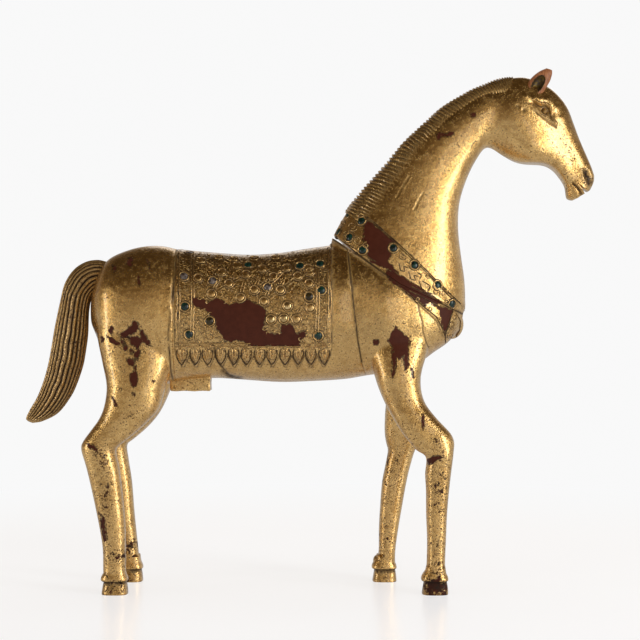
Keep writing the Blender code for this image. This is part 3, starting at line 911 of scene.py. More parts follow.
@dataclass
class RoundSettings:
    """Round things set into the surface: raised rings, or domes of glass."""

    radius: float
    thick: float
    places: list = field(default_factory=list)
    # The painted shade round a ring is a low dark ring, this high and this much thicker
    shade_rise: float = 0.0005
    shade_spread: float = 0.0015

    def tree(self, dome: bool) -> bpy.types.NodeTree:
        """The tree that sets a ring or a dome on every place."""
        sizes = {
            "Radius": ("NodeSocketFloat", self.radius),
            "Thickness": ("NodeSocketFloat", self.thick),
            "Finish": ("NodeSocketMaterial", None),
        }
        tree, pen, given = new_tree("glass_domes" if dome else "raised_rings", sizes)
        radius, thick = given["Radius"], given["Thickness"]
        if dome:
            fineness = {"Segments": 24, "Rings": 14, "Radius": 1.0}
            ball = pen.node("GeometryNodeMeshUVSphere", fineness).outputs[0]
            scale = pen.node("ShaderNodeCombineXYZ", {0: radius, 1: radius, 2: thick}).outputs[0]
            shape = pen.node("GeometryNodeTransform", {0: ball, "Scale": scale}).outputs[0]
        else:
            loop, profile = (
                pen.node("GeometryNodeCurvePrimitiveCircle", {"Resolution": points, "Radius": size})
                for points, size in ((22, radius), (8, thick))
            )
            inputs = {0: loop.outputs[0], 1: profile.outputs[0]}
            shape = pen.node("GeometryNodeCurveToMesh", inputs).outputs[0]
        facing = {"Vector": pen.left("facing", "FLOAT_VECTOR")}
        turn = pen.node("FunctionNodeAlignRotationToVector", facing, axis="Z").outputs[0]
        scattered = pen.node(
            "GeometryNodeInstanceOnPoints",
            {"Points": given["Geometry"], "Instance": shape, "Rotation": turn,
             "Scale": pen.left("size")},
        )
        close_tree(pen, scattered.outputs[0], given["Finish"])
        return tree

    def add(self, point: Vector, normal: Vector, size: float = 1.0, sink: float = 0.0) -> None:
        """Adds one place, sunk below the surface by a distance."""
        self.places.append((point - normal * sink, normal, size))

    def piece(self, name: str, finish: bpy.types.Material, dome: bool = False) -> bpy.types.Object:
        """Makes all the settings into one piece."""
        mesh = bpy.data.meshes.new(name)
        mesh.from_pydata([tuple(p) for p, _, _ in self.places], [], [])
        facing = mesh.attributes.new("facing", "FLOAT_VECTOR", "POINT")
        facing.data.foreach_set("vector", [c for _, n, _ in self.places for c in n])
        sizes = mesh.attributes.new("size", "FLOAT", "POINT")
        sizes.data.foreach_set("value", [s for _, _, s in self.places])
        values = {"Radius": self.radius, "Thickness": self.thick, "Finish": finish}
        return run_tree(linked(name, mesh), self.tree(dome), values)

    def painted_shade(self, name: str, finish: bpy.types.Material) -> bpy.types.Object:
        """Low tubes of painted shade on both sides of every ring, as one piece."""
        thick = self.thick + self.shade_spread
        drop = self.shade_rise - thick
        low = [(point + normal * drop, normal, size) for point, normal, size in self.places]
        return darken_whole_piece(RoundSettings(self.radius, thick, low).piece(name, finish))


@dataclass
class CarvedRidges:
    """Grooves cut in a row into a plain form, so that ridges are left between them."""

    along: float
    around: float
    depth: float
    roundness: float = 0.6
    fine_share: float = 0.0
    wobble: float = 0.0
    seed: float = 3.0

    def sizes(self) -> dict[str, float]:
        """The named inputs of the tree, with what they are set to."""
        return {
            "Ridges Along": self.along, "Ridges Around": self.around, "Depth": self.depth,
            "Roundness": self.roundness, "Fine Share": self.fine_share, "Wobble": self.wobble,
            "Seed": self.seed,
        }

    def tree(self) -> bpy.types.NodeTree:
        """The tree that cuts the grooves and marks how deep they are."""
        sizes = {name: ("NodeSocketFloat", usual) for name, usual in self.sizes().items()}
        sizes["Finish"] = ("NodeSocketMaterial", None)
        tree, pen, given = new_tree("carved_ridges", sizes)
        where = pen.node("GeometryNodeInputPosition").outputs[0]
        drift = pen.node(
            "ShaderNodeTexNoise",
            {"Vector": where, "W": given["Seed"], "Scale": 55.0, "Detail": 1.0},
            noise_dimensions="4D",
        ).outputs[0]
        drift = pen.times(pen.less(drift, 0.5), given["Wobble"])
        phase = pen.times(pen.left("along"), given["Ridges Along"])
        phase = pen.plus(pen.left("around"), given["Ridges Around"], phase)
        phase = pen.maths("ADD", phase, drift)

        def rope(turns: Socket) -> Socket:
            """The rounded profile of a row of ridges."""
            wave = pen.maths("ABSOLUTE", pen.maths("SINE", pen.times(turns, math.pi)))
            return pen.maths("POWER", wave, given["Roundness"])

        main = pen.less(1.0, rope(phase))
        fine = pen.less(1.0, rope(pen.times(phase, 3.0)))
        held = pen.times(pen.plus(fine, given["Fine Share"], main), pen.left("hold"))
        depth = pen.times(pen.times(held, given["Depth"]), -1.0)
        normal = pen.node("GeometryNodeInputNormal").outputs[0]
        offset = pen.node("ShaderNodeVectorMath", {0: normal, "Scale": depth}, operation="SCALE")
        moved = pen.node(
            "GeometryNodeSetPosition", {"Geometry": given["Geometry"], "Offset": offset.outputs[0]}
        ).outputs[0]
        # The depth is kept as groove, which the finish paints as shade in the grooves
        marked = pen.node(
            "GeometryNodeStoreNamedAttribute", {"Geometry": moved, "Name": "groove", "Value": held},
            data_type="FLOAT", domain="POINT",
        ).outputs[0]
        close_tree(pen, marked, given["Finish"])
        return tree

    def work(self, item: bpy.types.Object, finish: bpy.types.Material) -> bpy.types.Object:
        """Cuts the ridges into a piece."""
        return run_tree(item, self.tree(), {**self.sizes(), "Finish": finish})


# Bared patches of lacquer on the right side, in picture squares
SADDLE_PATCH = (
    (190, 297), (199, 298), (208, 302), (215, 299), (222.6, 301), (230.5, 306), (238.4, 301),
    (245.4, 299), (252.5, 302), (261.2, 305), (266, 312.2), (262.6, 328), (270, 334.4),
    (275.3, 333), (281, 335), (282.3, 324.6), (293, 324), (294.4, 332.4), (300, 336),
    (299.4, 346.4), (254, 345.8), (240, 340.6), (224.4, 341.4), (222, 333.2), (216, 329.7),
    (216, 322.7), (210, 314), (206, 310.6), (194, 306.6),
)
COLLAR_PATCH = (
    (364, 217), (385, 233), (396, 240), (393, 250), (388, 262), (400, 275), (386, 268), (372, 262),
    (363, 250),
)
RIGHT_PATCHES = (
    SADDLE_PATCH, COLLAR_PATCH, ((299, 333), (303, 330.6), (307, 333), (305, 338), (301, 338)),
    ((386, 268), (400, 275), (424, 291), (441, 302), (436, 306), (410, 293), (388, 277)),
    ((389, 279), (410, 289), (432, 302), (424, 306), (404, 291)),
    ((437, 305), (453, 310), (445, 335)),
    ((388, 341), (396, 327), (404, 334), (410, 341), (407, 352), (399, 360)),
    ((392, 352), (397, 352), (395, 372), (392, 378)),
    ((403, 350), (408, 350), (409, 366), (405, 370)),
    ((373, 340), (379, 340), (378, 345), (373, 344)),
    ((436, 134), (440, 133), (446, 134), (453, 132), (454, 135), (447, 137), (441, 136), (439, 141)),
    ((471, 114), (475, 113), (475, 117), (472, 117)),
    ((135, 321), (139, 325), (135, 332), (127, 337), (121, 338), (122, 333), (128, 328)),
    ((128, 337), (137, 336), (143, 342), (138, 346), (131, 345)),
    ((139, 329), (142, 330), (150, 342), (151, 346), (146, 344), (141, 336)),
    ((121, 340), (126, 343), (128, 350), (124, 349)),
    ((107, 336), (117, 341), (120, 345), (112, 343)),
    ((137, 349), (141, 350), (138, 360), (134, 358)),
    ((126, 358), (133, 361), (137, 363), (130, 366)), ((131, 349), (134, 352), (131, 356)),
    ((134, 365), (137, 366), (136, 373), (134, 372)),
    ((131, 373), (137, 374), (138, 381), (134, 389), (130, 383)),
    ((132, 393), (136, 394), (135, 397)), ((109, 325), (113, 326), (112, 334), (109, 331)),
    ((101, 337), (104, 339), (102, 342)), ((112, 397), (114, 400), (118, 407), (115, 406)),
    ((119, 388), (122, 388), (121, 391)), ((128, 258), (133, 258), (131, 266), (128, 264)),
    ((112, 265), (116, 267), (114, 273)), ((147, 260), (149, 263), (149, 269)),
    ((138, 276), (140, 278), (139.6, 287)), ((153, 380), (155, 380.6), (154, 382.6)),
    ((438, 400), (445, 396), (444, 407), (438, 409)),
    ((421.8, 414), (423.4, 415), (424, 430), (422.6, 430)),
    ((426.6, 461), (433, 456.4), (440.6, 455), (441.4, 458), (434, 462), (429, 465)),
    ((411, 368), (413, 369), (413.4, 378), (411.4, 377)), ((434.6, 439), (437, 440), (436, 443)),
    ((403.6, 473), (406, 474), (406.4, 484), (403.8, 482)),
    ((398, 500), (400.4, 502), (400, 519), (398, 516)),
    ((386.6, 533), (390, 533.6), (389, 539), (386.8, 538)),
    ((101, 514), (104, 520), (107, 540), (104.6, 541), (101.4, 526)),
    ((105, 486), (108, 484), (108.6, 488)),
    ((88, 444.6), (93, 445.6), (97, 448), (97, 450), (91, 449), (88.6, 447.4)),
)
LEFT_PATCHES = (
    ((236, 300), (258, 296), (276, 303), (281, 318), (268, 330), (247, 332), (231, 322), (229, 309)),
    ((380, 226), (396, 238), (401, 252), (389, 256), (376, 243)),
    ((391, 330), (403, 326), (409, 341), (400, 355), (391, 345)),
    ((128, 332), (146, 328), (152, 341), (139, 351), (126, 345)),
    ((430, 150), (437, 147), (441, 153), (433, 160)),
)
# The joints as dark lines in the picture: half width, and path
JOINT_LINES = (
    (1.5, ((330, 237), (348, 249.7), (360.5, 256.6), (389, 277.3), (401.8, 287.6), (411, 287.6),
           (425, 295), (444, 304.8), (464, 314.6))),
    (1.0, ((347.9, 252), (350.2, 275), (354.2, 310.5), (357.6, 339.3), (361.7, 362))),
    (1.0, ((177, 246), (172, 300), (168, 335), (171, 372), (173, 380))),
)
# Worn places on both sides: across, down, half width, half height in the picture, and how worn
WORN_PLACES = (
    (442, 445, 15, 22, 0.35), (440, 488, 12, 34, 0.62), (437, 560, 14, 40, 0.55),
    (434, 588, 16, 9, 1.3), (434, 488, 12, 22, 0.38), (392, 470, 14, 34, 0.8),
    (385, 540, 12, 40, 0.6), (98, 455, 12, 14, 0.75), (106, 505, 10, 44, 0.95),
    (130, 490, 8, 60, 0.7), (120, 556, 14, 8, 1.0), (140, 420, 24, 16, 0.4),
    (418, 425, 18, 30, 0.4), (112, 586, 14, 8, 0.6), (570, 150, 8, 26, 0.6), (190, 361, 11, 6, 0.7),
    (505, 150, 14, 8, 0.55), (405, 345, 22, 26, 0.35), (452, 330, 8, 20, 0.5),
    (205, 264, 8, 14, 0.8), (134, 345, 16, 18, 0.85), (115, 338, 12, 8, 0.6),
    (122, 268, 20, 12, 0.5), (390, 290, 26, 8, 0.5), (275, 262, 50, 10, 0.2),
    (470, 125, 20, 26, 0.12), (130, 350, 26, 26, 0.25), (232, 380, 12, 5, 1.2),
    (355, 225, 14, 14, 0.25), (85, 250, 16, 30, 0.2), (566, 192, 6, 8, 0.6), (588, 178, 5, 8, 1.0),
)
# Darkened places on both sides, given in the same way: smoked gilding and painted shade
SMOKED_AND_SHADED_PLACES = (
    (250, 262, 80, 20, 0.6), (390, 200, 24, 36, 0.5), (450, 115, 45, 22, 0.7),
    (500, 105, 12, 30, 0.7), (568, 122, 12, 34, 0.8), (110, 255, 34, 20, 0.6),
    (584, 160, 8, 26, 0.7), (345, 290, 22, 34, 0.3), (70, 300, 18, 60, 0.35),
    (120, 300, 22, 24, 0.35), (372, 322, 26, 40, 0.65), (342, 325, 14, 44, 0.45),
    (260, 376, 90, 7, 0.4), (400, 395, 10, 24, 0.4), (100, 520, 7, 50, 0.45),
)


@dataclass
class CarvedBody:
    """The four carved blocks of the horse, from one flowing body."""

    voxel: float = 0.00096
    kept_share: float = 0.49
    passes: int = 22
    haunch_passes: int = 140
    joint_gap: float = 0.0003
    cloth_raise: float = 0.0013
    collar_raise: float = 0.0011
    hoof_height: float = 13.4
    pastern_height: float = 13.8
    hoof_half_width: float = 12.4
    hoof_flare: float = 0.7
    leg_spread: float = 42.0
    cloth_back: float = -130.0
    cloth_front: float = 20.0
    cloth_hem: float = 242.0
    fringe_drop: float = 19.5
    fringe_leaves: int = FRINGE_LEAVES
    hind_joint: float = -133.0
    neck_joint: Path = ((-60, 407), (22, 349), (88, 302), (153, 272), (230, 239))
    neck_joint_above: Path = (
        (-60, 411.5), (19, 355.6), (37, 341.0), (52, 328.4), (88, 302.2), (153, 272.2), (230, 239.2)
    )
    shoulder_joint: Path = (
        (36.5, 338.7), (43.3, 276), (46.6, 248), (50.6, 226), (57, 209), (57, -20)
    )
    collar_outline: Path = (
        (16, 350), (34, 372), (50, 371), (149, 280), (170, 272), (170, 246), (132, 252), (125, 267),
        (111.5, 279), (83, 304), (60, 320), (38, 336),
    )
    feet: tuple = (
        ("right_hind_foot", -202.7, -177.4, Side.RIGHT),
        ("left_hind_foot", -196.6, -171.4, Side.LEFT),
        ("right_fore_foot", 109.5, 134.9, Side.RIGHT),
        ("left_fore_foot", 63.8, 88.2, Side.LEFT),
    )
    body_strokes: tuple[Stroke, ...] = (
        Stroke(((418, 305), (419, 311), (422, 321), (423, 332), (427, 344), (429, 348)), 1.1,
               -0.0005, (Side.RIGHT,), crisp=True, dark=1.0),
        Stroke(((500, 96), (496, 120), (503, 146)), 10, -0.0016),
        Stroke(((519, 118), (528, 140)), 21, 0.0026),
        Stroke(((172, 372), (200, 377), (240, 380), (300, 381), (345, 379)), 1.6, -0.0004,
               crisp=True, dark=0.2),
        Stroke(((409, 176), (402, 187), (396, 198)), 1.2, -0.0006, (Side.RIGHT,), crisp=True,
               dark=0.5),
        Stroke(((411, 177), (404, 188), (398, 199)), 1.0, 0.0004, (Side.RIGHT,), crisp=True),
        Stroke(((423, 193), (418, 202), (414, 210)), 1.3, -0.0006, (Side.RIGHT,), crisp=True,
               dark=0.6),
        Stroke(((213, 345), (216, 357), (222, 367), (229, 375), (240, 378.5)), 2.0, -0.0005,
               (Side.RIGHT,), crisp=True, dark=1.0),
        Stroke(((223, 371), (229, 376), (241, 379)), 4.2, -0.0003, (Side.RIGHT,), crisp=True,
               dark=1.0),
        Stroke(((352, 300), (356, 345), (372, 372)), 9, -0.0010),
        Stroke(((388, 300), (392, 340), (398, 372)), 14, 0.0012),
        Stroke(((120, 300), (130, 340)), 24, 0.0010),
        Stroke(((176, 330), (168, 372), (160, 392)), 7, -0.0010),
        Stroke(((440, 440), (446, 452)), 6, 0.0008),
        Stroke(((96, 452), (104, 466)), 6, 0.0008),
    )
    # The dark share of these cuts is painted shade in the hollows of the eye, nostril and mouth
    face_strokes: tuple[Stroke, ...] = (
        Stroke(((534.5, 103), (539, 107), (546, 111), (551, 115)), 3.2, -0.0016, dark=0.15),
        Stroke(((534.6, 103.6), (538, 106.8), (540.4, 110.4)), 1.9, -0.0003, dark=0.8),
        Stroke(((549.6, 112.6), (551.4, 116.6), (554, 120)), 1.6, -0.0003, dark=0.8),
        Stroke(((545.4, 110.4),), 2.1, 0.0021),
        Stroke(((548.4, 110.8), (547.5, 113), (545.4, 113.9), (543.2, 112.8), (542.3, 110.4),
                (543.2, 108), (545.4, 106.9), (547.6, 108.2), (548.4, 110.8)), 0.8, -0.0012,
               dark=1.0),
        Stroke(((533, 99.8), (537.4, 102), (541.6, 104), (545.8, 104), (549.4, 106.4), (551, 110),
                (551, 113.6)), 1.0, 0.0021),
        Stroke(((534.6, 102.6), (538.6, 105), (542, 106.6), (545.6, 105.8), (548.8, 108.2),
                (550, 111.6)), 0.8, -0.0009, dark=1.0),
        Stroke(((531.5, 104.4), (534.3, 109.3), (539.3, 115), (544.6, 117.6), (550, 120),
                (555.9, 125.8)), 1.0, 0.0020),
        Stroke(((533.6, 106.9), (536.6, 110.6), (541, 113.6), (546.8, 116.8), (551.8, 120.6)), 0.8,
               -0.0008, dark=0.85),
        Stroke(((535.6, 112.6), (541.6, 117.6), (549, 122.8), (556.4, 127.8)), 0.7, -0.0005,
               dark=0.6),
        Stroke(((551.6, 115.4), (552.6, 119.4), (556.6, 123.4)), 0.8, 0.0008),
        Stroke(((550.6, 116.8), (551.4, 120), (553.8, 122.4)), 0.7, -0.0005, dark=0.8),
        Stroke(((537.3, 107),), 1.3, 0.0009), Stroke(((518, 106),), 1.4, -0.0010, dark=0.7),
        Stroke(((524, 109.6),), 1.7, -0.0013, dark=0.8), Stroke(((545.6, 111.2),), 1.6, 0.0010),
        Stroke(((526, 96), (536, 99), (548, 100), (556, 108)), 3.0, 0.0009),
        Stroke(((585.8, 172.4), (588.2, 177.8), (590.2, 183.4)), 3.6, -0.0024, dark=1.0),
        Stroke(((582.4, 170), (583.6, 178), (587.4, 185.4)), 1.8, 0.0008),
        Stroke(((589, 169.4), (592.8, 176)), 1.5, 0.0006),
        Stroke(((572.6, 183.4), (574.6, 185.2), (577.4, 187.6), (580, 191.4), (582.2, 195.6)), 1.2,
               -0.0016, dark=1.0),
        Stroke(((570.4, 186.4), (574, 192), (577.4, 197.4)), 2.2, 0.0005),
        Stroke(((577, 182.6), (582.4, 189), (586.4, 191)), 2.2, 0.0005),
        Stroke(((562, 118), (571, 136), (580, 158)), 4.0, 0.0006),
        Stroke(((556, 132), (566, 150), (575, 170)), 4.0, -0.0004),
    )

    def blank(self) -> bpy.types.Object:
        """The whole body before the blocks are parted."""
        limbs = [
            Limb(TORSO, sides=72, power=2.35),
            Limb(NECK_AND_HEAD, sides=64, power=2.25, lean=0.46, lean_rows=(10.3, 13, 15.4, 18.5)),
            Limb(RIGHT_HIND_LEG, -1, power=2.6), Limb(LEFT_HIND_LEG, 1, power=2.6),
            Limb(RIGHT_FORELEG, -1, power=2.6), Limb(LEFT_FORELEG, 1, power=2.6),
        ]
        points, faces, start = [], [], 0
        for limb in limbs:
            shell = limb.shell(start)
            points.append(shell[0])
            faces += shell[1]
            start += len(shell[0])
        body = new_piece("body", np.vstack(points), faces)
        remesh = body.modifiers.new("flow", "REMESH")
        remesh.mode = "VOXEL"
        remesh.voxel_size = self.voxel
        smooth = body.modifiers.new("soften", "SMOOTH")
        smooth.factor = 0.5
        smooth.iterations = self.passes
        body = freeze(body)
        self.flow_haunches(body)
        return freeze(body)

    def flow_haunches(self, body: bpy.types.Object) -> None:
        """Lets the tops of the thighs and the upper arms flow into the body."""
        places = CarvedSurface(body).points / SQUARE
        across, up = places[:, 0], places[:, 2]
        thigh = np.exp(-((up - 266) / 24) ** 2) * smooth_step(-across, 118, 140)
        arm = np.exp(-((up - 256) / 17) ** 2) * smooth_step(across, 46, 60)
        arm *= smooth_step(-across, -128, -112)
        weights = np.clip(1.3 * np.maximum(thigh, arm), 0, 1)
        group = body.vertex_groups.new(name="haunches")
        for number in np.nonzero(weights > 0.03)[0]:
            group.add([int(number)], float(weights[number]), "REPLACE")
        flow = body.modifiers.new("flow", "SMOOTH")
        flow.factor = 0.5
        flow.iterations = self.haunch_passes
        flow.vertex_group = group.name

    def cloth_shape(self) -> Path:
        """The saddle cloth seen from the side, its hem cut into pointed leaves."""
        leaf = (self.cloth_front - self.cloth_back) / self.fringe_leaves
        points = [(self.cloth_back, 420), (self.cloth_back, self.cloth_hem)]
        for k in range(self.fringe_leaves):
            left = self.cloth_back + k * leaf
            points.append((left + 0.10 * leaf, self.cloth_hem - 0.45 * self.fringe_drop))
            points.append((left + 0.5 * leaf, self.cloth_hem - self.fringe_drop))
            points.append((left + 0.90 * leaf, self.cloth_hem - 0.45 * self.fringe_drop))
            points.append((left + leaf, self.cloth_hem))
        points.append((self.cloth_front, 420))
        return tuple(points)

    def raise_layers(self, surface: CarvedSurface) -> None:
        """Raises the cloth and the collar above the body, and paints shade along their edges."""
        flat = surface.points[:, (0, 2)] / SQUARE
        cloth = depth_inside(flat, self.cloth_shape(), 4)
        collar = depth_inside(flat, self.collar_outline, 4)
        height = self.cloth_raise * smooth_step(cloth, -0.5, 0.5)
        height += self.collar_raise * smooth_step(collar, -0.5, 0.5)
        # A dark band of painted shade just outside each raised edge, kept as groove
        edge = np.exp(-((cloth + 1.0) / 0.6) ** 2)
        edge = np.maximum(edge, 0.8 * np.exp(-((collar + 0.9) / 0.7) ** 2))
        surface.raise_by(height)
        surface.mark("groove", 0.85 * edge * (surface.points[:, 2] > 215 * SQUARE))
        surface.mark("cloth", smooth_step(cloth, 0, 1))

    def leaf_domes(self) -> tuple[Stroke, ...]:
        """A soft swelling on every leaf of the fringe."""
        leaf = (CLOTH_RIGHT - CLOTH_LEFT) / self.fringe_leaves
        middles = [CLOTH_LEFT + (k + 0.5) * leaf for k in range(self.fringe_leaves)]
        return tuple(Stroke(((x, 351), (x, 358)), 4.2, 0.0020) for x in middles)

    def foot(self, name: str, back: float, front: float, side: Side) -> bpy.types.Object:
        """A hoof with the carved step of the pastern above it."""
        low, high = self.hoof_height, self.hoof_height + self.pastern_height
        off, wide, flare = self.leg_spread, self.hoof_half_width, self.hoof_flare
        hoof = (
            (back + 0.5, 0, front - 0.5, 0, wide - 0.5, off), (back, 0.8, front, 0.8, wide, off),
            (back + 1.2 * flare, low / 2, front - 0.6 * flare, low / 2, wide - flare, off),
            (back + 3 * flare, low, front - 2.2 * flare, low, wide - 2.2 * flare, off),
        )
        pastern = (
            (back + 0.7, low - 0.8, front - 1.0, low - 0.8, wide - 1.2, off),
            (back - 0.8, low + 0.4, front + 0.2, low + 0.4, wide - 0.3, off),
            (back - 0.7, low + 3, front - 0.2, low + 3.4, wide - 0.5, off),
            (back + 1.0, low + 6.5, front - 1.6, low + 6.5, wide - 1.2, off),
            (back + 3.0, low + 9.5, front - 2.2, low + 9.5, wide - 1.6, off),
            (back + 4.2, high, front - 2.8, high, wide - 2.2, off),
        )
        shape = limb_piece(name, Limb(hoof, side.value, steps=6, sides=56, power=3.2))
        cuff = limb_piece(name + "_cuff", Limb(pastern, side.value, steps=4, sides=56, power=3.1))
        return cut(shape, cuff, "UNION")

    def blocks(self, body: bpy.types.Object) -> dict[str, bpy.types.Object]:
        """Parts the body at its joints.

        Args:
            body: The whole body, which is used up.

        Returns:
            The four blocks, by the name of the node that each stands for.
        """
        gap = self.joint_gap / 2 / SQUARE
        hind, down = self.hind_joint, -20
        shoulder = [(x + gap, z) for x, z in self.shoulder_joint]
        behind = [(x - gap, z) for x, z in self.shoulder_joint]
        neck = [(x, z - gap) for x, z in self.neck_joint]
        regions = {
            "head_and_neck": [*self.neck_joint_above, (330, 239), (330, 560), (-60, 560)],
            "forequarters": [*neck[2:], (230, down), *reversed(shoulder)],
            "barrel": [(hind + gap, down), *reversed(behind), neck[1], neck[0], (hind + gap, 458)],
            "hindquarters": [(-330, down), (-330, 450), (hind - gap, 450), (hind - gap, down)],
        }
        found = {}
        for name, outline in regions.items():
            block = linked(name + "_carved", body.data.copy())
            found[name] = cut(block, prism(name + "_region", tuple(outline)), "INTERSECT")
        bpy.data.objects.remove(body, do_unlink=True)
        return found

    def refine_face(self, head: bpy.types.Object) -> None:
        """Divides the skin more finely at the eyes, the nostrils and the mouth."""
        bm = bmesh.new()
        bm.from_mesh(head.data)
        points = np.array([v.co for v in bm.verts])
        near = np.zeros(len(points), bool)
        for side in BOTH:
            seen = DRAWING.seen(points, side)
            for low, high in (((528, 96), (562, 131)), ((568, 165), (596, 201))):
                near |= ((seen > low) & (seen < high)).all(1) & (side.value * points[:, 1] > 0)
        bm.edges.ensure_lookup_table()
        edges = [e for e in bm.edges if near[e.verts[0].index] and near[e.verts[1].index]]
        bmesh.ops.subdivide_edges(bm, edges=edges, cuts=2, use_grid_fill=True)
        bm.to_mesh(head.data)
        bm.free()
        head.data.update()

    def finish_marks(self, item: bpy.types.Object, dark: np.ndarray | None = None) -> None:
        """Leaves the marks of age on a block: bared patches, wear, smoked places and dark joints,
        and painted shade on darkened places, in the hollows of the face and above each hoof.
        """
        surface = CarvedSurface(item)
        groove = surface.read("groove")
        if dark is not None:
            groove = np.maximum(groove, dark)
        bared = np.full(len(groove), -9.0)
        worn = np.zeros(len(groove))
        smoke_and_shade = np.zeros(len(groove))
        for side, patches in ((Side.RIGHT, RIGHT_PATCHES), (Side.LEFT, LEFT_PATCHES)):
            seen = DRAWING.seen(surface.points, side)
            facing = surface.facing(side)
            for outline in patches:
                depth = depth_inside(seen, outline, 8)
                bared = np.maximum(bared, np.where(facing > 0.2, depth, -9))
            for marks, total in ((WORN_PLACES, worn), (SMOKED_AND_SHADED_PLACES, smoke_and_shade)):
                for across, down, wide, high, share in marks:
                    away = ((seen[:, 0] - across) / wide) ** 2 + ((seen[:, 1] - down) / high) ** 2
                    total += share * np.exp(-away) * (side.value * surface.points[:, 1] > 0)
            for wide, joint in JOINT_LINES:
                line = path_distance(seen, np.array(joint))
                groove = np.maximum(groove, np.exp(-(line / wide) ** 2) * facing)
        height = surface.points[:, 2] / SQUARE
        # A dark line of painted shade under the step of the pastern above each hoof
        step = np.exp(-((height - self.hoof_height + 0.6) / 0.7) ** 2) * (height < 40)
        groove = np.maximum(groove, step)
        smoke_and_shade += 0.6 * (height < self.hoof_height)
        worn += 0.20 * (height < self.hoof_height) + 0.25 * smooth_step(-height, -60, -20)
        surface.mark("groove", np.clip(groove, 0, 1))
        surface.mark("bared", np.maximum(bared * SQUARE + BARED_LEVEL, 0))
        surface.mark("worn", worn)
        surface.mark("smoke_and_shade", np.clip(smoke_and_shade, 0, 1))

    def build(self) -> dict[str, bpy.types.Object]:
        """Carves the four blocks.

        Returns:
            The blocks, by the name of the node that each stands for.
        """
        body = self.blank()
        surface = CarvedSurface(body)
        self.raise_layers(surface)
        surface = CarvedSurface(body)
        groove = surface.read("groove")
        dark = surface.carve(self.body_strokes + self.leaf_domes())
        surface.mark("groove", np.maximum(groove, dark))
        cut(body, ellipsoid("chest_knob", (141.5, 0, 263), (12, 12, 15)), "UNION")
        for foot in self.feet:
            cut(body, self.foot(*foot), "UNION")
        cut(body, ellipsoid("fetlock_knob", (70.5, 42, 21), (6.2, 8.5, 6.2)), "UNION")
        blocks = self.blocks(body)
        head = blocks["head_and_neck"]
        mouth = prism("mouth", ((264.5, 404.2), (281, 393), (278.2, 387)))
        cut(head, mouth, "DIFFERENCE")
        self.refine_face(head)
        dark = CarvedSurface(head).carve(self.face_strokes)
        for name, block in blocks.items():
            self.finish_marks(block, dark if name == "head_and_neck" else None)
            block.modifiers.new("spare", "DECIMATE").ratio = self.kept_share
            freeze(block)
        return blocks

    def dress(self, blocks: dict[str, bpy.types.Object]) -> None:
        """Gilds the blocks and puts them in place of their nodes."""
        for name, block in blocks.items():
            gild(block, GoldLeaf(name + "_gilding").material())
            settle(block, "gilded_wood", name)


def gild(item: bpy.types.Object, finish: bpy.types.Material) -> None:
    """Puts one finish on a whole piece, smoothly shaded."""
    item.data.materials.clear()
    item.data.materials.append(finish)
    item.data.polygons.foreach_set("use_smooth", np.ones(len(item.data.polygons), bool))
    item.data.polygons.foreach_set("material_index", np.zeros(len(item.data.polygons), np.int32))
    item.data.update()


def settle(item: bpy.types.Object, slot: str, *nodes: str) -> None:
    """Lets a piece ride on the horse, in place of the nodes that it stands for."""
    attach(item, BODY)
    if nodes:
        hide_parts(*nodes)
    triangles = sum(len(p.vertices) - 2 for p in item.data.polygons)
    LOG.info("%s: %d triangles, for %s", item.name, triangles, ", ".join(nodes) or "relief")


@dataclass
class Mane:
    """The crest, a raised band cut into slanting ropes of hair."""

    first: float = 2.0
    last: float = 10.3
    ropes: int = 60
    height: float = 0.0036
    depth: float = 0.0030
    slant: float = 3.6
    half_angle: float = 57.0
    across: int = 27
    steps: int = 8

    def build(self) -> bpy.types.Object:
        """Makes the band with its ropes."""
        rows = curved_rows(NECK_AND_HEAD, 8)
        count = self.ropes * self.steps
        places = np.linspace(self.first, self.last, count + 1)
        low = np.minimum((places * 8).astype(int), len(rows) - 2)
        row = rows[low] + (rows[low + 1] - rows[low]) * (places * 8 - low)[:, None]
        ax, az, bx, bz, half, _ = row.T
        share = (places - self.first) / (self.last - self.first)
        fade = np.minimum(1, (self.last - places) / 1.2 + 0.35)
        middle = np.stack([(ax + bx) / 2, 0 * ax, (az + bz) / 2], 1)
        reach = np.stack([(ax - bx) / 2, 0 * ax, (az - bz) / 2], 1)
        length = np.linalg.norm(reach, axis=1)[:, None]
        lean = np.stack([-reach[:, 2], 0 * ax, reach[:, 0]], 1) / length * 3.0
        angles = np.radians(np.linspace(-self.half_angle, self.half_angle, self.across))
        rings, around, hold = [], [], []
        for k, angle in enumerate(list(angles) + [angles[-1], angles[0]]):
            inner = k >= self.across
            turned = angle * (1 - 0.06 * share)
            along, out = (rounded(f(turned), 2.25)[:, None] for f in (np.cos, np.sin))
            edge = abs(angle / angles[-1]) ** 3.4
            raised = (self.height * fade / SQUARE)[:, None] * (-1.5 if inner else 1.0 - 1.30 * edge)
            grown = reach * (1 + raised / length)
            point = middle + grown * along + lean * np.abs(out)
            point[:, 1] += (out * (half[:, None] + raised))[:, 0]
            rings.append(point * SQUARE)
            around.append(np.full(count + 1, abs(angle / angles[-1]) ** 1.7))
            kept = 0.0 if inner else 1.0 - 0.45 * edge
            hold.append(np.full(count + 1, kept) * (0.35 + 0.65 * fade))
        item = new_piece("mane", *closed_tube(np.stack(rings, 1)))
        surface = CarvedSurface(item)
        surface.mark("along", np.repeat(share, len(rings)))
        surface.mark("around", np.stack(around, 1).ravel())
        surface.mark("hold", np.stack(hold, 1).ravel())
        finish = GoldLeaf("mane_gilding", deep=(0.50, 0.28, 0.085), crinkle=0.45)
        ridges = CarvedRidges(self.ropes, -self.slant, self.depth, roundness=1.25, wobble=1.6)
        item = ridges.work(item, finish.material())
        surface = CarvedSurface(item)
        # Painted shade in the bottoms of the grooves between the ropes
        surface.mark("groove", np.clip((surface.read("groove") - 0.2) * 2.1, 0, 1))
        surface.mark("smoke_and_shade", np.full(len(surface.points), 0.2))
        return item

    def dress(self, item: bpy.types.Object) -> None:
        """Lets the mane ride on the neck."""
        settle(item, "gilded_wood")


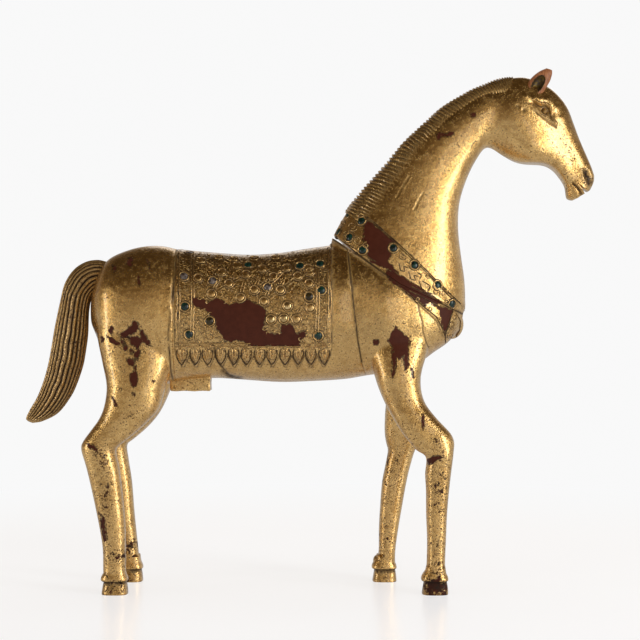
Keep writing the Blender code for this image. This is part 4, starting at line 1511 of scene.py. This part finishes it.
@dataclass
class Tail:
    """The hanging tail, cut into long strands."""

    strands: int = 23
    depth: float = 0.0018
    sides: int = 322
    steps: int = 9

    def build(self) -> bpy.types.Object:
        """Makes the tail with its strands."""
        limb = Limb(TAIL, 1, self.steps, self.sides, 2.2)
        rings = limb.rings()
        middles = rings.mean(1, keepdims=True)
        rings = middles + (rings - middles) * 1.012
        item = new_piece("tail_strands", *closed_tube(rings))
        count = len(rings)
        surface = CarvedSurface(item)
        surface.mark("along", np.repeat(np.linspace(0, 1, count), self.sides))
        surface.mark("around", np.tile(np.arange(self.sides) / self.sides, count))
        fade = np.clip((1 - np.linspace(0, 1, count)) * 9, 0.15, 1)
        surface.mark("hold", np.repeat(fade, self.sides))
        finish = GoldLeaf("tail_gilding", bright=(0.88, 0.56, 0.21), deep=(0.40, 0.22, 0.062),
                          dirt_and_shade=(0.030, 0.011, 0.004), crinkle=0.45)
        ridges = CarvedRidges(
            0.0, self.strands, self.depth, roundness=0.8, fine_share=0.25, wobble=0.55
        )
        item = ridges.work(item, finish.material())
        surface = CarvedSurface(item)
        # Painted shade in the bottoms of the grooves between the strands
        groove = surface.read("groove")
        surface.mark("groove", np.clip((groove - 0.10) * 2.3, 0, 1))
        surface.mark("worn", np.full(len(groove), 0.35))
        # Darker on the side that faces forward, as painted shade, over a little smoked tone all
        # round
        surface.mark("smoke_and_shade", 0.12 + 0.85 * smooth_step(surface.normals[:, 0], -0.1, 0.8))
        return item

    def dress(self, item: bpy.types.Object) -> None:
        """Puts the strands in place of the plain tail."""
        settle(item, "gilded_wood", "tail")


@dataclass
class Ears:
    """Two hollowed leaves of wood on the poll, their rims bare."""

    hollow_middle: tuple = (225.6, 18.8, 500.2)
    hollow_radii: tuple = (5.6, 5.4, 10.4)
    hollow_tilt: float = 33.0

    def build(self, side: Side) -> bpy.types.Object:
        """Makes one ear."""
        label = "ear_" + side.name.lower()
        ear = limb_piece(label + "_leaf", Limb(EAR, side.value, steps=10, sides=72, power=2.2))
        x, y, z = self.hollow_middle
        scoop = ellipsoid("scoop", (x, side.value * y, z), self.hollow_radii, self.hollow_tilt)
        cut(ear, scoop, "DIFFERENCE")
        surface = CarvedSurface(ear)
        at = surface.points / SQUARE - np.array([x, side.value * y, z])
        turn = math.radians(self.hollow_tilt)
        long = at[:, 0] * math.sin(turn) + at[:, 2] * math.cos(turn)
        wide = at[:, 0] * math.cos(turn) - at[:, 2] * math.sin(turn)
        scale = np.sqrt((wide / self.hollow_radii[0]) ** 2 + (at[:, 1] / self.hollow_radii[1]) ** 2
                        + (long / self.hollow_radii[2]) ** 2)
        inside = scale < 1.04
        behind = smooth_step(-side.value * surface.normals[:, 1], -0.2, 0.5)
        surface.mark("gilt", np.where(inside, 0.75, behind))
        # The hollow is darkened as painted shade, most of all at its bottom
        deep = smooth_step(1 - np.abs(side.value * at[:, 1] + 4) / 3.0, 0.0, 1.0) * inside
        surface.mark("groove", np.maximum(0.95 * deep, 0.72 * inside))
        return ear

    def dress(self, side: Side, item: bpy.types.Object) -> None:
        """Finishes one ear and puts it in place of its node."""
        label = "ear_" + side.name.lower()
        gild(item, BareWood(label + "_wood").material())
        settle(item, "bare_wood", label)


def scroll(across: float, down: float, size: float, turn: float, turns: float = 1.4,
           way: int = 1) -> Path:
    """A spiral in the picture, from its tail to its eye."""
    points = []
    for k in range(int(16 * turns) + 1):
        share = k / (16 * turns)
        angle = turn + way * 2 * math.pi * turns * share
        radius = size * (1 - 0.78 * share)
        points.append((across + radius * math.cos(angle), down + radius * math.sin(angle)))
    return tuple(points)


@dataclass
class SaddleCloth:
    """The relief of the saddle cloth: borders, rings, lattice, small curls and the leaf fringe."""

    thread: float = 0.00054
    ring_radius: float = 0.0054
    ring_thickness: float = 0.00066
    dish_radius: float = 0.0037
    dish_height: float = 0.0010
    leaves: int = FRINGE_LEAVES
    uprights: tuple = (176.6, 179.4, 191.0, 193.8, 316.2, 318.9, 328.2, 330.6)
    leaf_edge: Path = (
        (-4.6, 349.5), (-5.5, 353), (-4.8, 357.5), (-2.4, 362), (0, 365), (2.4, 362), (4.8, 357.5),
        (5.5, 353), (4.6, 349.5),
    )
    leaf_lobes: tuple[Path, ...] = (
        ((-1.5, 349.5), (-1.9, 354), (-0.4, 359)), ((1.7, 350), (2.1, 354), (0.6, 358.6)),
    )
    rings: Path = (
        (200.8, 260), (219, 257), (234, 258.7), (254.4, 258), (276, 256.8), (237, 265),
        (262, 268.3), (286.3, 267.6), (308, 268), (198.3, 277.8), (222, 272), (246, 274),
        (273.5, 276.6), (297.8, 276), (310, 272), (228.9, 283.6), (254.4, 290), (280.5, 290),
        (309.2, 283.6), (211.7, 293.8), (240.4, 297.6), (264, 301.4), (310.5, 307.8),
        (296.5, 319.3),
    )
    studs: Path = (
        (184.9, 306.5), (189.3, 334.8), (320, 263.2), (321.3, 290), (318.2, 336), (248, 265),
        (299.7, 266.3), (187.4, 251.7), (183.6, 275.9), (212.3, 280.4), (267.8, 286.8),
        (209.7, 321.2), (309.2, 296.3), (271, 319.3), (283.7, 318.6), (287.6, 305.9),
    )
    seed: int = 11

    def clear_of(self, place: tuple, others: Path, room: float) -> bool:
        """Whether a picture place keeps its distance from others."""
        return all(math.hypot(place[0] - x, place[1] - y) > room for x, y in others)

    def outside_patches(self, place: tuple, side: Side) -> bool:
        """Whether a place lies on gilding, not on a bared patch."""
        patches = RIGHT_PATCHES[:3] if side is Side.RIGHT else LEFT_PATCHES[:1]
        at = np.array([place], float)
        return all(depth_inside(at, outline, 3)[0] < 0.3 for outline in patches)

    def line(self, threads: LaidThreads, finder: SurfaceFinder, path: Path, side: Side,
             thick: float) -> None:
        """Lays a line where the gilding still stands."""
        run: list = []
        for place in [*spaced(path, 1.2), None]:
            if place and self.outside_patches(place, side):
                run.append(place)
                continue
            if len(run) > 2:
                threads.follow(finder, tuple(run), side, thick)
            run = []

    def lay_borders(self, threads: LaidThreads, finder: SurfaceFinder, side: Side) -> None:
        """The upright borders at both ends and the double line above the fringe."""
        for across in self.uprights:
            path = tuple((across + 0.5 * math.sin(0.11 * y), y) for y in range(243, 344, 4))
            self.line(threads, finder, path, side, self.thread)
        for down in (343.6, 346.6):
            path = ((CLOTH_LEFT, down), (CLOTH_RIGHT, down))
            self.line(threads, finder, path, side, self.thread * 1.15)

    def lay_fringe(self, threads: LaidThreads, gaps: LaidThreads, finder: SurfaceFinder,
                   side: Side) -> None:
        """The pointed leaves under the hem: painted shade in the gaps round them, and their lobes.
        """
        leaf = (CLOTH_RIGHT - CLOTH_LEFT) / self.leaves
        sway = np.random.default_rng(self.seed)
        for k in range(self.leaves):
            mid = CLOTH_LEFT + (k + 0.5) * leaf + sway.uniform(-0.4, 0.4)
            path = tuple((mid + x + sway.uniform(-0.3, 0.3), y) for x, y in self.leaf_edge)
            gaps.follow(finder, path, side, self.thread * 1.5)
            for lobe in self.leaf_lobes:
                path = tuple((mid + x + sway.uniform(-0.5, 0.5), y) for x, y in lobe)
                threads.follow(finder, path, side, self.thread * 1.7)

    def lay_lattice(self, threads: LaidThreads, finder: SurfaceFinder, side: Side) -> None:
        """Double diagonal lines between neighbouring rings."""
        dots = self.rings + self.studs[9:13]
        for i, (ax, ay) in enumerate(dots):
            for bx, by in dots[i + 1:]:
                apart = math.hypot(bx - ax, by - ay)
                if not 14 < apart < 27 or abs(by - ay) < 8 or abs(bx - ax) < 5:
                    continue
                ux, uy = (bx - ax) / apart, (by - ay) / apart
                for off in (-1.3, 1.3):
                    start = (ax + ux * 5.6 - uy * off, ay + uy * 5.6 + ux * off)
                    stop = (bx - ux * 5.6 - uy * off, by - uy * 5.6 + ux * off)
                    self.line(threads, finder, (start, stop), side, self.thread * 0.95)

    def lay_curls(self, threads: LaidThreads, finder: SurfaceFinder, side: Side) -> None:
        """Small curls that fill the ground between the rings."""
        spread = np.random.default_rng(self.seed + side.value)
        for row in range(15):
            for column in range(22):
                across = 197 + column * 5.7 + spread.uniform(-1.6, 1.6) + 2.6 * (row % 2)
                down = 254 + row * 6.1 + spread.uniform(-1.6, 1.6)
                angle = spread.uniform(0, 2 * math.pi)
                way = 1 if spread.random() < 0.5 else -1
                size = spread.uniform(1.7, 2.6)
                place = (across, down)
                taken = not self.clear_of(place, self.rings + self.studs, 6.4)
                if across <= 313 and down <= 341 and not taken and self.outside_patches(place, side):
                    curl = scroll(across, down, size, angle, 0.62, way)
                    threads.follow(finder, curl, side, self.thread, step=0.9)
        for k in range(26):
            down = 254 + k * 3.5
            for mid in (185.2, 323.4):
                place = (mid + 2.2 * math.sin(k * 1.9), down)
                if self.clear_of(place, self.studs, 6.2):
                    curl = scroll(*place, 1.9, k * 2.1, 0.6, 1 if k % 2 else -1)
                    threads.follow(finder, curl, side, self.thread * 0.75, step=0.9)

    def build(self, finder: SurfaceFinder) -> list[bpy.types.Object]:
        """Makes the relief on both sides.

        Args:
            finder: Finds the surface of the barrel.

        Returns:
            The threads and the rings, and the painted shade beside them.
        """
        threads, leaves, gaps = LaidThreads(), LaidThreads(), LaidThreads(lift=0.0)
        settings = RoundSettings(self.ring_radius, self.ring_thickness)
        dishes = RoundSettings(self.dish_radius, self.dish_height)
        for side in BOTH:
            self.lay_borders(threads, finder, side)
            self.lay_fringe(leaves, gaps, finder, side)
            self.lay_lattice(threads, finder, side)
            self.lay_curls(threads, finder, side)
            for place in self.rings:
                found = finder.steady(place, side)
                if found and (self.outside_patches(place, side) or place[0] > 290):
                    settings.add(*found, 0.94, -0.00012)
                    dishes.add(*found, 1.0, 0.0003)
        finish = GoldLeaf(
            "cloth_relief_gilding", (0.86, 0.56, 0.215), (0.50, 0.285, 0.085), crinkle=0.25
        ).material()
        # The gaps round the leaves and the low tubes by threads and rings are painted shade
        return [
            threads.piece("saddle_cloth_relief", finish),
            settings.piece("saddle_cloth_rings", finish),
            leaves.piece("leaf_fringe_relief", finish),
            darken_whole_piece(gaps.piece("leaf_fringe_gap_shade", finish)),
            dishes.piece("ring_dishes", finish, dome=True),
            threads.piece("saddle_cloth_painted_shade", finish, painted_shade=True),
            settings.painted_shade("saddle_ring_painted_shade", finish),
        ]

    def dress(self, pieces: list[bpy.types.Object]) -> None:
        """Lets the relief ride on the barrel."""
        for item in pieces:
            settle(item, "gilded_wood")


@dataclass
class Collar:
    """The relief of the collar: its edges, its scrolls and the pendant on the chest."""

    thread: float = 0.00055
    edges: tuple[Path, ...] = (
        ((361, 212), (376, 223.6), (392.5, 238.2), (410, 254.4), (427, 270.6), (444, 287.6),
         (461, 304)),
        ((364, 216), (378, 227), (392.5, 240.6), (408, 255), (424, 270), (441, 287.6), (456, 303)),
        ((404, 290), (424.8, 307.4), (436.3, 316.4), (444.4, 333)),
        ((336, 222), (345, 213), (352, 211), (361, 212)),
        ((343, 241), (352, 247), (364, 254), (376, 262)),
        ((453, 311), (449, 323), (445.4, 334), (445.6, 346)),
        ((456, 313), (460.6, 321), (459.6, 330), (455.4, 338), (448, 346.4)),
        ((411, 286), (425, 293.4), (444, 303)), ((409, 290.4), (424, 298), (440, 307)),
    )
    frets: tuple[Path, ...] = (
        ((399, 262.6), (400.6, 270.6), (405, 271.4), (403.6, 266), (408.6, 268)),
        ((406.6, 262), (412, 264.6), (409.4, 268.6)),
        ((408.6, 271), (411, 279), (415.6, 280.4), (414, 275), (419, 277)),
        ((417, 272), (422, 275.4), (419.6, 279)), ((419, 281), (422, 289), (426.4, 290.4)),
        ((422, 280.6), (430.6, 286), (427.6, 292), (433, 294)),
    )
    scrolls: tuple = (
        (352.4, 226.4, 5.2, 0.4, 1.5, 1), (345.4, 234.4, 4.0, 2.0, 1.3, -1),
        (356.8, 240.6, 4.6, 3.4, 1.4, 1), (343.6, 222.6, 3.4, 1.2, 1.2, 1),
        (333, 233.4, 2.6, 0, 1.2, 1), (366, 245.4, 3.6, 5.0, 1.2, -1),
        (402.6, 255.8, 3.6, 0.2, 1.4, 1), (436.4, 292.4, 4.2, 1.0, 1.3, -1),
        (445.4, 293, 3.8, 2.2, 1.2, 1), (447.8, 301.6, 3.2, 4.4, 1.2, -1),
        (428, 275.6, 3.0, 5.2, 1.2, 1), (452.6, 325, 3.6, 1.2, 1.3, 1),
        (450.6, 336, 3.0, 4.2, 1.2, -1), (455.8, 317.6, 2.6, 2.0, 1.1, 1),
        (418, 299.4, 2.8, 1.0, 1.2, 1), (430, 308.6, 2.8, 3.0, 1.2, -1),
        (438.6, 318.6, 2.4, 5.0, 1.1, 1),
    )

    def build(self, finder: SurfaceFinder) -> list[bpy.types.Object]:
        """Makes the relief on both sides, and the painted shade beside it."""
        threads, lines = LaidThreads(shade_rise=0.0005), LaidThreads(lift=0.1)
        for side in BOTH:
            for path in self.edges + self.frets:
                lines.follow(finder, path, side, self.thread * 1.15)
            for item in self.scrolls:
                threads.follow(finder, scroll(*item), side, self.thread, step=0.9)
        finish = GoldLeaf("collar_relief_gilding", crinkle=0.25).material()
        return [
            threads.piece("collar_relief", finish), darken_whole_piece(lines.piece("collar_lines", finish)),
            threads.piece("collar_painted_shade", finish, painted_shade=True),
        ]

    def dress(self, pieces: list[bpy.types.Object]) -> None:
        """Lets the relief ride on the neck."""
        for item in pieces:
            settle(item, "gilded_wood")


@dataclass
class GlassStuds:
    """The glass studs, each in a raised gold ring, grouped by the tone of their glass."""

    radius: float = 0.0044
    height: float = 0.0023
    sink: float = 0.0010
    ring_radius: float = 0.0051
    ring_thickness: float = 0.00062
    other_tones: tuple = (
        ("saddle_inlay_right", GlassTone.CLEAR, (8, 9, 10, 11)),
        ("saddle_inlay_right", GlassTone.OLIVE, (12, 13)),
        ("saddle_inlay_right", GlassTone.GILDED, (14, 15, 16)),
        ("saddle_inlay_left", GlassTone.CLEAR, (3, 6)),
    )
    glasses: tuple[StudGlass, ...] = (
        StudGlass(GlassTone.GREEN, (0.006, 0.046, 0.030), (0.001, 0.005, 0.004)),
        StudGlass(GlassTone.CLEAR, (0.30, 0.25, 0.22), (0.045, 0.028, 0.022), 0.3),
        StudGlass(GlassTone.OLIVE, (0.070, 0.048, 0.012), (0.022, 0.014, 0.004), 0.2),
        StudGlass(GlassTone.GILDED, (0.90, 0.66, 0.33), (0.42, 0.26, 0.09), 0.9),
    )

    def tone_of(self, label: str, number: int) -> GlassTone:
        """The tone of the glass in one node."""
        for row, tone, numbers in self.other_tones:
            if label == row and number in numbers:
                return tone
        return GlassTone.GREEN

    def build(self, finder: SurfaceFinder) -> None:
        """Makes the domes and their rings, and puts the domes in place of the nodes."""
        domes = {tone: RoundSettings(self.radius, self.height) for tone in GlassTone}
        nodes: dict[GlassTone, list[str]] = {tone: [] for tone in GlassTone}
        rings = RoundSettings(self.ring_radius, self.ring_thickness)
        for name in sorted(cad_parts):
            if "inlay" not in name:
                continue
            label, number = name.rsplit("_", 1)
            low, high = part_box(name)
            place = finder.nearest((low + high) / 2)
            tone = self.tone_of(label, int(number))
            domes[tone].add(*place, sink=self.sink)
            rings.add(*place, sink=-0.0001)
            nodes[tone].append(name)
        slots = {
            GlassTone.GREEN: "green_glass", GlassTone.CLEAR: "clear_glass",
            GlassTone.OLIVE: "green_glass", GlassTone.GILDED: "gilded_glass",
        }
        for glass in self.glasses:
            item = domes[glass.tone].piece(f"{glass.tone.value}_studs", glass.material(), dome=True)
            settle(item, slots[glass.tone], *nodes[glass.tone])
        finish = GoldLeaf("stud_ring_gilding", crinkle=0.25).material()
        settle(rings.piece("stud_rings", finish), "gilded_wood")
        # A low dark ring of painted shade round every stud ring
        settle(rings.painted_shade("stud_ring_painted_shade", finish), "gilded_wood")


@dataclass
class BellyBlock:
    """The flat block under the belly, its edges rounded by the knife."""

    middle_x: float = -119.0
    bottom: float = 196.0
    length: float = 0.045
    width: float = 0.028
    height: float = 0.0245
    edge_round: float = 0.0028

    def build(self) -> bpy.types.Object:
        """Makes the block."""
        bm = bmesh.new()
        bmesh.ops.create_cube(bm, size=1)
        middle = (self.middle_x * SQUARE, 0, self.bottom * SQUARE + self.height / 2)
        size = Matrix.Diagonal((self.length, self.width, self.height, 1))
        bm.transform(Matrix.Translation(middle) @ size)
        bmesh.ops.bevel(
            bm, geom=bm.edges[:], offset=self.edge_round, segments=5, affect="EDGES", profile=0.6
        )
        bmesh.ops.triangulate(bm, faces=[f for f in bm.faces if len(f.verts) > 4])
        mesh = bpy.data.meshes.new("belly_block")
        bm.to_mesh(mesh)
        bm.free()
        item = linked("belly_block", mesh)
        divide = item.modifiers.new("divide", "SUBSURF")
        divide.subdivision_type = "SIMPLE"
        divide.levels = divide.render_levels = 3
        freeze(item)
        surface = CarvedSurface(item)
        at = surface.points
        wave = np.sin(at[:, 0] * 310) * np.sin(at[:, 1] * 260 + 1) * np.sin(at[:, 2] * 420 + 2)
        surface.raise_by(-0.0004 * (1 + wave))
        surface.mark("worn", 0.35 + 0.25 * wave)
        return item

    def dress(self, item: bpy.types.Object) -> None:
        """Gilds the block and puts it in place of its node."""
        gild(item, GoldLeaf("belly_block_gilding").material())
        settle(item, "gilded_wood", "sheath_block")


@dataclass
class Studio:
    """A pale glossy floor, soft lights, and the camera of the picture."""

    paper: float = 0.945
    floor_size: float = 9.0
    film_width: float = 36.0

    def floor(self) -> None:
        """The pale floor."""
        mesh = bpy.data.meshes.new("studio_floor")
        half = self.floor_size
        corners = [(-half, -half, 0), (half, -half, 0), (half, half, 0), (-half, half, 0)]
        mesh.from_pydata(corners, [], [(0, 1, 2, 3)])
        made, pen = new_material("white_gloss_floor")
        where = pen.place()
        haze = pen.noise(where, 3.0, 2)
        colour = pen.blend(haze, (0.465, 0.48, 0.52), (0.475, 0.49, 0.53))
        seen = pen.node("ShaderNodeLightPath").outputs["Is Camera Ray"]
        shader = pen.node(
            "ShaderNodeBsdfPrincipled",
            {"Base Color": colour, "Roughness": 0.22, "Specular IOR Level": 0.30,
             "Emission Color": (1, 1, 1, 1),
             "Emission Strength": pen.maths("MULTIPLY_ADD", seen, 0.37, 0.25)},
        )
        away = pen.node("ShaderNodeVectorMath", {0: where}, operation="LENGTH").outputs["Value"]
        paper = pen.maths("MULTIPLY_ADD", seen, self.paper - 0.5, 0.5)
        far = pen.node("ShaderNodeEmission", {"Strength": paper}).outputs[0]
        mixed = pen.node(
            "ShaderNodeMixShader", {0: pen.ramp(away, 0.45, 1.2), 1: shader.outputs[0], 2: far}
        ).outputs[0]
        pen.node("ShaderNodeOutputMaterial", {"Surface": mixed})
        mesh.materials.append(made)
        linked("studio_floor", mesh)

    def sky(self) -> None:
        """White paper behind, a dim room in front and above, as the gilding mirrors it."""
        world = bpy.data.worlds.new("studio")
        bpy.context.scene.world = world
        world.use_nodes = True
        pen = NodePen(world.node_tree)
        where = pen.node("ShaderNodeTexCoord").outputs["Generated"]
        parts = pen.node("ShaderNodeSeparateXYZ", {0: where}).outputs
        low = pen.maths("SUBTRACT", 1.0, pen.ramp(parts[2], 0.05, 0.75))
        level = pen.maths("MULTIPLY_ADD", low, 0.16, 0.07)
        behind = pen.maths("MULTIPLY", pen.ramp(parts[1], -0.1, 0.7), 0.22)
        right = pen.maths("MULTIPLY", pen.ramp(parts[0], 0.1, 0.9), 0.22)
        front = pen.maths("MULTIPLY", pen.ramp(parts[1], -0.55, -0.97), 0.10)
        beside = pen.maths("ADD", behind, pen.maths("ADD", front, right))
        level = pen.maths("ADD", level, pen.maths("MULTIPLY", beside, low))
        tint = pen.blend(pen.ramp(level, 0.05, 0.6), (1.0, 0.70, 0.38), (1.0, 0.98, 0.95))
        room = pen.node("ShaderNodeBackground", {"Color": tint, "Strength": level})
        paper = pen.node(
            "ShaderNodeBackground", {"Color": (1.0, 1.0, 1.0, 1), "Strength": self.paper}
        )
        seen = pen.node("ShaderNodeLightPath").outputs["Is Camera Ray"]
        mix = pen.node(
            "ShaderNodeMixShader", {0: seen, 1: room.outputs[0], 2: paper.outputs[0]}
        ).outputs[0]
        pen.node("ShaderNodeOutputWorld", {"Surface": mix})

    def light(self, name: str, place: tuple, aim: tuple, size: tuple, watts: float,
              mirrored: bool = True) -> None:
        """One soft rectangular light."""
        lamp = bpy.data.lights.new(name, "AREA")
        lamp.shape = "RECTANGLE"
        lamp.size, lamp.size_y = size
        lamp.energy = watts
        item = linked(name, lamp)
        item.location = place
        item.rotation_euler = (Vector(aim) - Vector(place)).to_track_quat("-Z", "Y").to_euler()
        item.visible_glossy = mirrored
        item.visible_camera = False

    def camera(self) -> None:
        """The camera of the picture: level, a long lens, square on to the right side."""
        lens = bpy.data.cameras.new("picture_camera")
        lens.sensor_width = self.film_width
        lens.lens = self.film_width * DRAWING.distance / (PICTURE_SIZE * SQUARE)
        item = linked("picture_camera", lens)
        item.location = (DRAWING.aim_x * SQUARE, -DRAWING.distance, DRAWING.aim_z * SQUARE)
        item.rotation_euler = (math.pi / 2, 0, 0)
        bpy.context.scene.camera = item

    def build(self) -> None:
        """Sets the whole studio up."""
        self.floor()
        self.sky()
        self.light("right_softbox", (1.38, -1.05, 0.60), (0.1, 0, 0.3), (0.50, 1.2), 11)
        self.light("front_softbox", (0.62, -1.85, 0.50), (0, 0, 0.3), (0.60, 0.8), 1.6)
        self.light("left_softbox", (-1.6, -0.7, 0.4), (-0.1, 0, 0.28), (0.35, 0.9), 4)
        self.light("back_softbox", (0.3, 1.4, 1.1), (0, 0, 0.35), (1.4, 0.5), 2.5)
        self.light("floor_wash", (0, 0, 2.4), (0, 0, 0), (3.2, 3.2), 25, mirrored=False)
        self.camera()
        view = bpy.context.scene.view_settings
        view.view_transform = "Standard"
        view.look = "None"


def main() -> None:
    """Builds every piece of the horse and the studio around it."""
    logging.basicConfig(level=logging.INFO, format="%(message)s")
    Studio().build()
    carved = CarvedBody()
    blocks = carved.build()
    finder = SurfaceFinder(*blocks.values())
    carved.dress(blocks)
    mane = Mane()
    mane.dress(mane.build())
    tail = Tail()
    tail.dress(tail.build())
    ears = Ears()
    for side in BOTH:
        ears.dress(side, ears.build(side))
    cloth = SaddleCloth()
    cloth.dress(cloth.build(finder))
    collar = Collar()
    collar.dress(collar.build(finder))
    GlassStuds().build(finder)
    block = BellyBlock()
    block.dress(block.build())
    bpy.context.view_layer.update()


if __name__ == "__main__":
    main()
